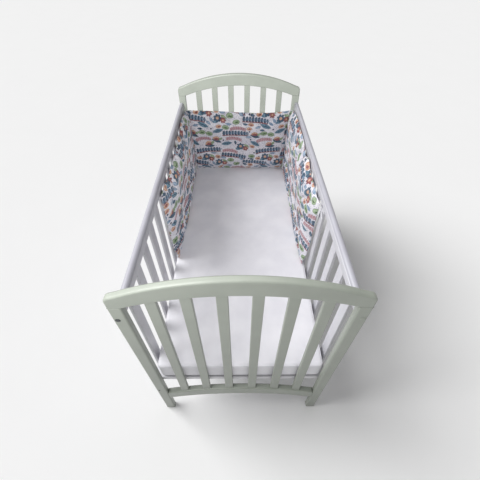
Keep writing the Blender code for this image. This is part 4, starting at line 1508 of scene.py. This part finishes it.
        from_end = np.maximum(np.minimum(s, path.total - s), 0)
        ends = 1 - np.exp(-((from_end / self.end_fullness) ** 1.3))
        channel = 1 - self.channel_depth * self.corner_share(s)
        crown = np.sqrt(np.clip(1 - np.abs(2 * up - 1) ** 4, 0, 1))
        share = fill_low + (fill_high - fill_low) * up
        swell = (ends * channel)[:, None] * crown * share
        lean = (lean_low * np.exp(-((up - self.low_lean[0]) / self.low_lean[1]) ** 2)
                + lean_high * np.exp(-((up - self.high_lean[0]) / self.high_lean[1]) ** 2)) * channel[:, None]

        # Between the slats the back swells outwards a little. Along a side the inward way lies along X.
        on_side = np.abs(inward[:, 0]) > 0.99
        phase = np.where(on_side, (line[:, 1] - self.slat_first) / self.slat_pitch,
                         line[:, 0] / self.head_pitch + 0.5)
        between = (0.5 - 0.5 * np.cos(2 * math.pi * phase))[:, None] * crown
        depth = self.seam_thickness + (self.pad_thickness - self.seam_thickness) * swell
        foot = self.foot_shift * np.exp(-((up / self.foot_reach) ** 2)) * channel[:, None]
        seam_mid = self.seam_thickness / 2
        edge = self.rim_distance(s[:, None], up)
        reach, power = self.closing
        closing = 1 - np.exp(-((edge / reach) ** power))
        base = foot + self.back_lean_share * lean
        back = base + seam_mid * (1 - closing) - self.bulge * between * closing
        gathers = self.puckers(s)[:, None] * np.exp(-edge / self.pucker_reach) * closing
        relief = 0.5 * self.pucker_depth * gathers - self.crease_depth(CREASES, s[:, None], up) * swell
        front = base + seam_mid + (depth - seam_mid) * closing + (1 - self.back_lean_share) * lean + relief
        front = np.maximum(front, back)

        def points(offset: np.ndarray) -> np.ndarray:
            """The grid of places that lie some way into the crib from the line."""
            xy = line[:, None, :] + inward[:, None, :] * offset[:, :, None]
            return np.concatenate([xy, z[:, :, None]], axis=2)

        rim, seam = edge <= 0, (front + back) / 2
        return points(np.where(rim, seam, front)), points(np.where(rim, seam, back)), s, up[0]

    def shell(self) -> tuple[bpy.types.Object, np.ndarray, np.ndarray]:
        """Sews the two faces together: one closed mesh whose rim points are shared, with its UV map.

        Returns:
            The piece, which of its points are on the rim, and how near each is to a seam (1 at it).
        """
        front, back, s, up = self.faces()
        stations, rows = front.shape[:2]
        number_front = np.arange(stations * rows).reshape(stations, rows)
        number_back = number_front.copy()
        inner = (stations - 2) * (rows - 2)
        number_back[1:-1, 1:-1] = stations * rows + np.arange(inner).reshape(stations - 2, rows - 2)
        points = np.concatenate([front.reshape(-1, 3), back[1:-1, 1:-1].reshape(-1, 3)])

        def both(grid: np.ndarray) -> np.ndarray:
            """What each point of the mesh has, from what each station and row has."""
            return np.concatenate([grid.reshape(-1), grid[1:-1, 1:-1].reshape(-1)])

        def quads(number: np.ndarray, flip: bool) -> np.ndarray:
            """One quad for each four neighbours of a grid of point numbers."""
            corners = [number[:-1, :-1], number[1:, :-1], number[1:, 1:], number[:-1, 1:]]
            return np.stack(corners[::-1] if flip else corners, axis=-1).reshape(-1, 4)

        faces = np.concatenate([quads(number_front, False), quads(number_back, True)])
        bumper = put("bumper", points, faces, "printed_cotton", self.finish, "bumper")
        cut = np.stack(np.broadcast_arrays(s[:, None], up[None, :] * self.middle_height), axis=-1)
        flat = np.concatenate([cut.reshape(-1, 2), (cut[1:-1, 1:-1] + self.back_print).reshape(-1, 2)])
        layer = bumper.data.uv_layers.new(name="cut")
        corner = read(bumper.data.loops, "vertex_index", 1, np.int32)
        uv = flat[corner]
        # On the back the rim takes the back's own place in the print.
        behind = np.zeros(len(bumper.data.polygons), bool)
        behind[(stations - 1) * (rows - 1):] = True
        per_loop = np.repeat(behind, 4) & (corner < stations * rows)
        uv[per_loop] += self.back_print
        layer.data.foreach_set("uv", uv.astype(np.float32).ravel())

        edge = self.rim_distance(s[:, None], up[None, :])
        columns = {"walked": both(np.broadcast_to(s[:, None], edge.shape)),
                   "share_up": both(np.broadcast_to(up, edge.shape)),
                   "inside": both(1 - np.exp(-((edge / self.calm_reach) ** 2))),
                   "facing": (np.arange(len(points)) < stations * rows).astype(float)}
        for name, column in columns.items():
            write(bumper.data, name, "POINT", column)
        return bumper, both(edge <= 0), both(np.exp(-((edge / self.spare_reach) ** 2)))

    def press_folds(self, bumper: bpy.types.Object) -> None:
        """Presses the fine folds, the seams' gathers and small wrinkles into the cloth, along its normals.

        Args:
            bumper: the divided panel, whose columns say where each point lies on it.
        """
        mesh = bumper.data
        names = ("walked", "share_up", "inside", "facing")
        s, up, inside, facing = (read(mesh.attributes[name].data, "value", 1, np.float32) for name in names)
        for name in names:
            mesh.attributes.remove(mesh.attributes[name])
        edge = self.rim_distance(s, up)
        # Near a head corner the channel has taken the thickness, so the folds are shallower there.
        room = 1 - self.channel_calm * self.corner_share(s)
        folds = self.fold_gain * self.crease_depth(FOLDS, s, up, *self.steep)
        cores = self.core_depth * self.crease_depth(CREASES, s, up, *self.core)
        gathers = self.pucker_depth * self.puckers(s) * np.exp(-edge / self.pucker_reach)
        crumples = self.crumple_depth * self.crumples(s, up)
        relief = inside * (gathers + facing * room * (crumples - folds - cores))
        place, normal = (read(mesh.vertices, name, 3) for name in ("co", "normal"))
        mesh.vertices.foreach_set("co", (place + relief[:, None] * normal).ravel())
        mesh.update()

    def build(self) -> None:
        """Sews the panel, fills it, divides its mesh once and presses the folds in."""
        bumper, on_rim, closeness = self.shell()
        fill_with_wadding(bumper, on_rim, closeness)
        divide_once(bumper)
        self.press_folds(bumper)
        log.info("bumper: %d points, %.2f m along its back", len(bumper.data.vertices), self.path.total)


def fill_with_wadding(piece: bpy.types.Object, pinned: np.ndarray, closeness: np.ndarray,
                      pressure: float = 2.5, looseness: float = 0.012, spare: float = 0.05,
                      cap: float = 0.006, frames: int = 20) -> None:
    """Fills a sewn cover: cloth simulation under pressure, with its movement limited.

    The seams are pinned, and the cloth near them is cut a little larger than it lies, so it puckers there.
    Each point's way d becomes cap * tanh(|d| / cap) long.

    Args:
        piece: the cover, a closed mesh.
        pinned: which points stay.
        closeness: how near each point is to a seam, from 0 to 1.
        pressure: of the wadding.
        looseness: share by which all of the cloth is larger than it lies.
        spare: share by which the cloth at a seam is larger than the seam.
        cap: the most that a point may move, in metres.
        frames: of the simulation.
    """
    before = read(piece.data.vertices, "co", 3)
    seams = piece.vertex_groups.new(name="seams")
    seams.add(np.flatnonzero(pinned).tolist(), 1.0, "REPLACE")
    ease = piece.vertex_groups.new(name="ease")
    for level in np.unique(np.round(closeness, 2)):
        ease.add(np.flatnonzero(np.round(closeness, 2) == level).tolist(), float(level), "REPLACE")
    cloth = piece.modifiers.new("wadding", "CLOTH")
    settings = cloth.settings
    settings.quality = 6
    settings.mass = 0.25
    settings.tension_stiffness = settings.compression_stiffness = 12
    settings.shear_stiffness = 4
    settings.bending_stiffness = 0.25
    settings.use_pressure = True
    settings.uniform_pressure_force = pressure
    settings.vertex_group_mass = seams.name
    settings.vertex_group_shrink = ease.name
    settings.shrink_min, settings.shrink_max = -looseness, -spare
    settings.effector_weights.gravity = 0
    cloth.point_cache.frame_start, cloth.point_cache.frame_end = 1, frames
    for number in range(1, frames + 1):
        bpy.context.scene.frame_set(number)
    settled = piece.evaluated_get(bpy.context.evaluated_depsgraph_get())
    way = read(settled.data.vertices, "co", 3) - before
    piece.modifiers.remove(cloth)
    bpy.context.scene.frame_set(1)
    length = np.linalg.norm(way, axis=1, keepdims=True)
    way *= np.where(length > 1e-9, cap * np.tanh(length / cap) / np.maximum(length, 1e-9), 0)
    piece.data.vertices.foreach_set("co", (before + way).ravel())
    piece.data.update()
    log.info("filled %s: moved %.1f mm at most", piece.name, np.linalg.norm(way, axis=1).max() * 1000)


def divide_once(piece: bpy.types.Object) -> None:
    """Applies one step of Catmull-Clark subdivision: every face becomes four, and the form is smooth.

    Args:
        piece: an object whose only modifier this becomes.
    """
    smooth = piece.modifiers.new("smooth", "SUBSURF")
    smooth.levels = smooth.render_levels = 1
    graph = bpy.context.evaluated_depsgraph_get()
    finer = bpy.data.meshes.new_from_object(piece.evaluated_get(graph), preserve_all_data_layers=True,
                                            depsgraph=graph)
    coarse = piece.data
    piece.modifiers.clear()
    piece.data = finer
    bpy.data.meshes.remove(coarse)
    finer.name = piece.name


# ---------------------------------------------------------------- the ties
@dataclass(frozen=True)
class TapeTie:
    """A tape tie: a loop round its slat, a knot on the crib's side, a stub to the seam and two free ends."""

    name: str
    side: Side
    slat: int
    knot_y: float
    seam_y: float
    seam_z: float
    tails: tuple[tuple[Point, ...], ...]  # way points from the knot, in metres; +X is towards the slats
    height: float = 0.806
    tape_width: float = 0.0088
    tape_thickness: float = 0.0011
    flat_share: float = 0.92  # of the width; beyond it the tape thins to its selvedge
    slack: float = 0.0004  # between the loop and its slat
    turn_ease: float = 0.0014  # of the loop at the slat's edges
    knot_off: float = 0.0021  # from the loop to the knot
    knot_size: Point = (0.0024, 0.0010, 0.0062)
    knot_points: int = 8
    knot_lean: Point = (0.0, 1.0, 0.18)  # across the tape that wraps the knot
    stub_lean: Point = (0.0, 1.0, 0.35)  # across the stub
    stub_bow: Point = (0.0010, 0.0, 0.0035)
    seam_inset: float = 0.0010  # from the bumper's back line
    tail_twist: float = 0.35
    wrap_share: float = 0.72  # of the tape's width, gathered round the knot
    tail_share: float = 0.9
    stub_share: float = 0.8

    def ribbon(self, points: np.ndarray, across: Sequence[float] | np.ndarray, width: float,
               closed: bool = False) -> tuple[np.ndarray, np.ndarray, np.ndarray]:
        """A tape of six-sided section along a smooth curve through way points.

        Args:
            points: (n, 3) way points.
            across: direction of the tape's width, at each of them or at all.
            width: of the tape.
            closed: whether it runs round in a loop.

        Returns:
            Vertices, quads, and the six-sided faces at both ends unless it is closed.
        """
        across = np.broadcast_to(np.array(across, float), points.shape)
        if closed:
            points, across = (np.concatenate([a[-1:], a, a[:2]]) for a in (points, across))
        else:
            points = np.concatenate([2 * points[:1] - points[1:2], points, 2 * points[-1:] - points[-2:-1]])
            across = np.concatenate([across[:1], across, across[-1:]])
        t = np.linspace(0, 1, 7)[:-1][None, :, None]

        def spline(a: np.ndarray) -> np.ndarray:
            """Catmull-Rom through the rows, six steps to a stretch.

            Args:
                a: one row a way point, and one more beyond each end.

            Returns:
                The curve's rows.
            """
            p0, p1, p2, p3 = (a[k:len(a) - 3 + k, None] for k in range(4))
            run = 0.5 * (2 * p1 + (p2 - p0) * t + (2 * p0 - 5 * p1 + 4 * p2 - p3) * t ** 2
                         + (3 * p1 - p0 - 3 * p2 + p3) * t ** 3)
            run = run.reshape(-1, 3)
            return run if closed else np.concatenate([run, a[-2:-1]])

        line, wide = spline(points), spline(across)
        ahead = np.roll(line, -1, axis=0) - np.roll(line, 1, axis=0)
        if not closed:
            ahead[0], ahead[-1] = line[1] - line[0], line[-1] - line[-2]
        ahead /= np.linalg.norm(ahead, axis=1, keepdims=True)
        wide = wide - (wide * ahead).sum(axis=1, keepdims=True) * ahead
        wide /= np.linalg.norm(wide, axis=1, keepdims=True)
        thick = np.cross(ahead, wide)
        w, h = width / 2, self.tape_thickness / 2
        flat = w * self.flat_share
        section = np.array([(-w, 0), (-flat, -h), (flat, -h), (w, 0), (flat, h), (-flat, h)])
        rings = (line[:, None] + section[None, :, :1] * wide[:, None] + section[None, :, 1:] * thick[:, None])
        count, around = len(line), len(section)
        quads = tube_faces(count + closed, around) % (count * around)
        ends = np.arange(around) + np.array([[0], [(count - 1) * around]])
        return rings.reshape(-1, 3), quads, ends[:0] if closed else ends

    def loop(self) -> np.ndarray:
        """Way points round the slat, at the tie's height.

        Returns:
            (10, 3) places, whose X and Y reach half a tape and the slack beyond the slat.
        """
        low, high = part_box(f"{self.side.name.lower()}_slat_{self.slat + 1:02d}")
        gap, ease = self.tape_thickness / 2 + self.slack, self.turn_ease
        x0, x1, y0, y1 = low.x - gap, high.x + gap, low.y - gap, high.y + gap
        flat = np.array([(x0 + ease, y0), (x0, y0 + ease), (x0, (y0 + y1) / 2), (x0, y1 - ease),
                         (x0 + ease, y1), (x1 - ease, y1), (x1, y1 - ease), (x1, (y0 + y1) / 2),
                         (x1, y0 + ease), (x1 - ease, y0)])
        return np.concatenate([flat, np.full((len(flat), 1), self.height)], axis=1)

    def build(self, finish: bpy.types.Material) -> None:
        """Builds the tie as one piece of several tapes.

        Args:
            finish: the tape's material.
        """
        sign, loop = self.side.value, self.loop()
        inner = loop[:, 0].min() if self.side is Side.RIGHT else loop[:, 0].max()
        knot = np.array([inner - sign * self.knot_off, self.knot_y, self.height])
        tapes = [self.ribbon(loop, (0.0, 0.0, 1.0), self.tape_width, closed=True)]

        # The knot: one turn of tape that wraps the crossing, pulled narrow.
        turn = np.linspace(0, 2 * math.pi, self.knot_points, endpoint=False)
        round_knot = np.stack([np.cos(turn), np.sin(turn), np.sin(turn)], axis=1) * self.knot_size
        tapes.append(self.ribbon(knot + round_knot, self.knot_lean, self.tape_width * self.wrap_share,
                                 closed=True))
        for way in self.tails:
            points = knot + np.array(way) * (sign, 1, 1)
            across = np.cross(np.gradient(points, axis=0), (1.0, 0.0, 0.0))
            twist = np.linspace(0, self.tail_twist, len(points))[:, None]
            across += twist * np.linalg.norm(across, axis=1, keepdims=True) * (1, 0, 0)
            tapes.append(self.ribbon(points, across, self.tape_width * self.tail_share))
        seam = np.array([sign * (BumperPath.back_x - self.seam_inset), self.seam_y, self.seam_z])
        bend = (knot + seam) / 2 + np.array(self.stub_bow) * (sign, 1, 1)
        tapes.append(self.ribbon(np.array([knot, bend, seam]), self.stub_lean,
                                 self.tape_width * self.stub_share))

        points, faces, used = [], [], 0
        for own, quads, ends in tapes:
            points.append(own)
            faces += (quads + used).tolist() + (ends + used).tolist()
            used += len(own)
        put(self.name, np.concatenate(points), faces, "tie_tape", finish, self.name)
        log.info("%s round a slat", self.name)


TIES = (
    TapeTie("tie_right_end", Side.RIGHT, 4, -0.1760, -0.1660, 0.826,
            (((0.0, -0.002, -0.001), (-0.0028, -0.014, -0.009), (-0.0034, -0.025, -0.015),
              (-0.0026, -0.036, -0.019)),
             ((0.0, 0.001, -0.002), (-0.0022, 0.004, -0.018), (-0.0034, 0.006, -0.035),
              (-0.0026, 0.010, -0.052)))),
    TapeTie("tie_right_middle", Side.RIGHT, 7, 0.0760, 0.0800, 0.822,
            (((0.0, -0.002, 0.0), (-0.0022, -0.008, -0.005), (-0.0014, -0.013, -0.014),
              (-0.0006, -0.016, -0.024)),
             ((0.0, 0.002, 0.0), (-0.0024, 0.009, -0.004), (-0.0016, 0.014, -0.012),
              (-0.0008, 0.018, -0.021)))),
    TapeTie("tie_left_end", Side.LEFT, 5, -0.1000, -0.1250, 0.823,
            (((0.0, -0.002, -0.001), (-0.0022, -0.012, -0.012), (-0.0026, -0.022, -0.024),
              (-0.0020, -0.030, -0.036)),
             ((0.0, 0.000, -0.002), (-0.0020, -0.004, -0.018), (-0.0028, -0.007, -0.036),
              (-0.0020, -0.008, -0.056)))),
)


# ---------------------------------------------------------------- the studio
@dataclass(frozen=True)
class Softbox:
    """A square studio light, flagged so that it only reaches the pieces whose names start as given."""

    name: str
    at: Point
    towards: Point
    size: float
    power: float
    reaches: tuple[str, ...]

    def build(self, pieces: Sequence[bpy.types.Object]) -> None:
        """Hangs the light and keeps it to its own pieces.

        Args:
            pieces: all that are built.
        """
        receivers = bpy.data.collections.new(f"{self.name}_receivers")
        for piece in pieces:
            if piece.name.startswith(self.reaches):
                receivers.objects.link(piece)
        lamp = bpy.data.lights.new(self.name, "AREA")
        lamp.size, lamp.energy = self.size, self.power
        made = add_object(self.name, lamp)
        made.location = self.at
        made.rotation_euler = (Vector(self.at) - Vector(self.towards)).to_track_quat("Z", "Y").to_euler()
        made.light_linking.receiver_collection = receivers


@dataclass
class Studio:
    """A pale seamless floor, a very wide key from the left, an even fill, and the photo's camera."""

    paper: EvenTone = EvenTone("matt_paper", "#f6f6f6", 0.95, 0.2, 3.0, (0.992, 1.0))
    floor_reach: float = 30.0
    floor_drop: float = 0.0002  # under the glides
    sky_tone: str = "#f5f5f5"
    key_from: Point = (-0.80, 0.18, 0.85)
    key_strength: float = 2.75
    key_angle: float = 40.0
    key_tone: str = "#ffffff"
    fill_strength: float = 0.37
    boxes: tuple[Softbox, ...] = (
        Softbox("cloth_box", (0.15, -0.85, 1.5), (-0.1, 0.50, 0.65), 0.8, 9.0,
                ("bumper", "tie", "mattress")),
        Softbox("side_box", (-0.5, -0.6, 2.0), (0.0, 0.62, 0.95), 0.9, 11.0, ("left", "right")),
        Softbox("foot_box", (-0.55, -1.02, 1.50), (-0.12, -0.62, 0.99), 0.5, 9.5, ("foot", "bolt")),
        Softbox("head_box", (-0.4, -0.9, 1.6), (0.0, 0.62, 0.95), 0.6, 45.0, ("head",)),
        Softbox("top_box", (0.0, -0.2, 2.5), (0.0, -0.19, 0.5), 1.2, 12.0, ("foot",)),
    )
    camera_at: Point = (-0.002, -0.9852, 1.6014)
    pitch: float = 42.74
    yaw: float = 0.2257
    roll: float = -0.1002
    focal_px: float = 300.15
    frame_px: float = 480.0
    middle_row_px: float = 199.8
    sensor_mm: float = 36.0
    clip: tuple[float, float] = (0.05, 60.0)

    def camera(self) -> None:
        """Places the camera: pitched down, a hair to the right, with the lens shifted down."""
        data = bpy.data.cameras.new("camera")
        data.sensor_width = self.sensor_mm
        data.lens = self.focal_px / self.frame_px * data.sensor_width
        data.shift_y = -(self.frame_px / 2 - self.middle_row_px) / self.frame_px
        data.clip_start, data.clip_end = self.clip
        made = add_object("camera", data)
        pitch, yaw, roll = (math.radians(a) for a in (self.pitch, self.yaw, self.roll))
        ahead = Vector((math.sin(yaw) * math.cos(pitch), math.cos(yaw) * math.cos(pitch), -math.sin(pitch)))
        level = Vector((math.cos(yaw), -math.sin(yaw), 0.0))
        above = level.cross(ahead)
        right = math.cos(roll) * level + math.sin(roll) * above
        up = -math.sin(roll) * level + math.cos(roll) * above
        matrix = Matrix((right, up, -ahead)).transposed().to_4x4()
        matrix.translation = Vector(self.camera_at)
        made.matrix_world = matrix
        bpy.context.scene.camera = made

    def light(self) -> None:
        """A wide sun for the key, and a white sky for the fill."""
        sun = bpy.data.lights.new("key", "SUN")
        sun.energy = self.key_strength
        sun.angle = math.radians(self.key_angle)
        sun.color = linear(self.key_tone)[:3]
        made = add_object("key", sun)
        made.rotation_euler = Vector(self.key_from).to_track_quat("Z", "Y").to_euler()
        world = bpy.data.worlds.new("studio")
        world.use_nodes = True
        sky = world.node_tree.nodes["Background"]
        sky.inputs["Color"].default_value = linear(self.sky_tone)
        sky.inputs["Strength"].default_value = self.fill_strength
        bpy.context.scene.world = world
        bpy.context.scene.view_settings.view_transform = "Standard"

    def softboxes(self) -> None:
        """Hangs the softboxes for the pieces that are built by now."""
        pieces = [piece for piece in bpy.context.scene.objects if piece.type == "MESH"]
        for box in self.boxes:
            box.build(pieces)

    def floor(self) -> None:
        """A floor that runs out of the picture on every side, just under the legs."""
        mesh = bpy.data.meshes.new("studio_floor")
        corners = [(self.floor_reach * x, self.floor_reach * y, -self.floor_drop)
                   for x, y in ((-1, -1), (1, -1), (1, 1), (-1, 1))]
        mesh.from_pydata(corners, [], [(0, 1, 2, 3)])
        made = add_object("studio_floor", mesh)
        mesh.materials.append(self.paper.material())


# ---------------------------------------------------------------- the whole
def main() -> None:
    """Builds the camera, the crib, the mattress, the bumper and its ties."""
    logging.basicConfig(level=logging.INFO, format="%(name)s: %(message)s")
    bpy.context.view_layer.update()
    studio = Studio()
    studio.camera()
    studio.light()
    studio.floor()

    sage = Lacquer("sage_lacquer_on_beech", "#8c9188", "#878c83").material()
    white = Lacquer("white_lacquer_on_beech", "#c9c9ce", "#c3c2c8", roughness=0.36).material()
    rail = Lacquer("pearl_grey_lacquer_on_beech", "#aeaeb6", "#a8a7b0", roughness=0.34).material()
    board = Lacquer("white_sealed_board", "#dddce0", "#d5d4d9", roughness=0.5).material()
    dark_cap = EvenTone("dark_nylon_cap", "#23282a").material()
    rubber = EvenTone("dark_rubber_glide", "#3a3d38", roughness=0.6).material()
    CribEnd("foot", sage, rubber).build()
    CribEnd("head", sage, rubber).build()
    for side in Side:
        CribSide(side, white, rail).build()
    BoltCaps(dark_cap, sage).build()
    MattressOnBase(PlainCloth("white_cotton_ticking", "#dfdee3", "#d5d4da").material(), board).build()
    PaddedBumper(PrintedCotton().material(), BumperPath()).build()
    tape = PlainCloth("cotton_tape", tone="#dddce2", shade="#d4d3d9", thread_mm=1.2, strength=0.3).material()
    for tie in TIES:
        tie.build(tape)
    studio.softboxes()


if __name__ == "__main__":
    main()
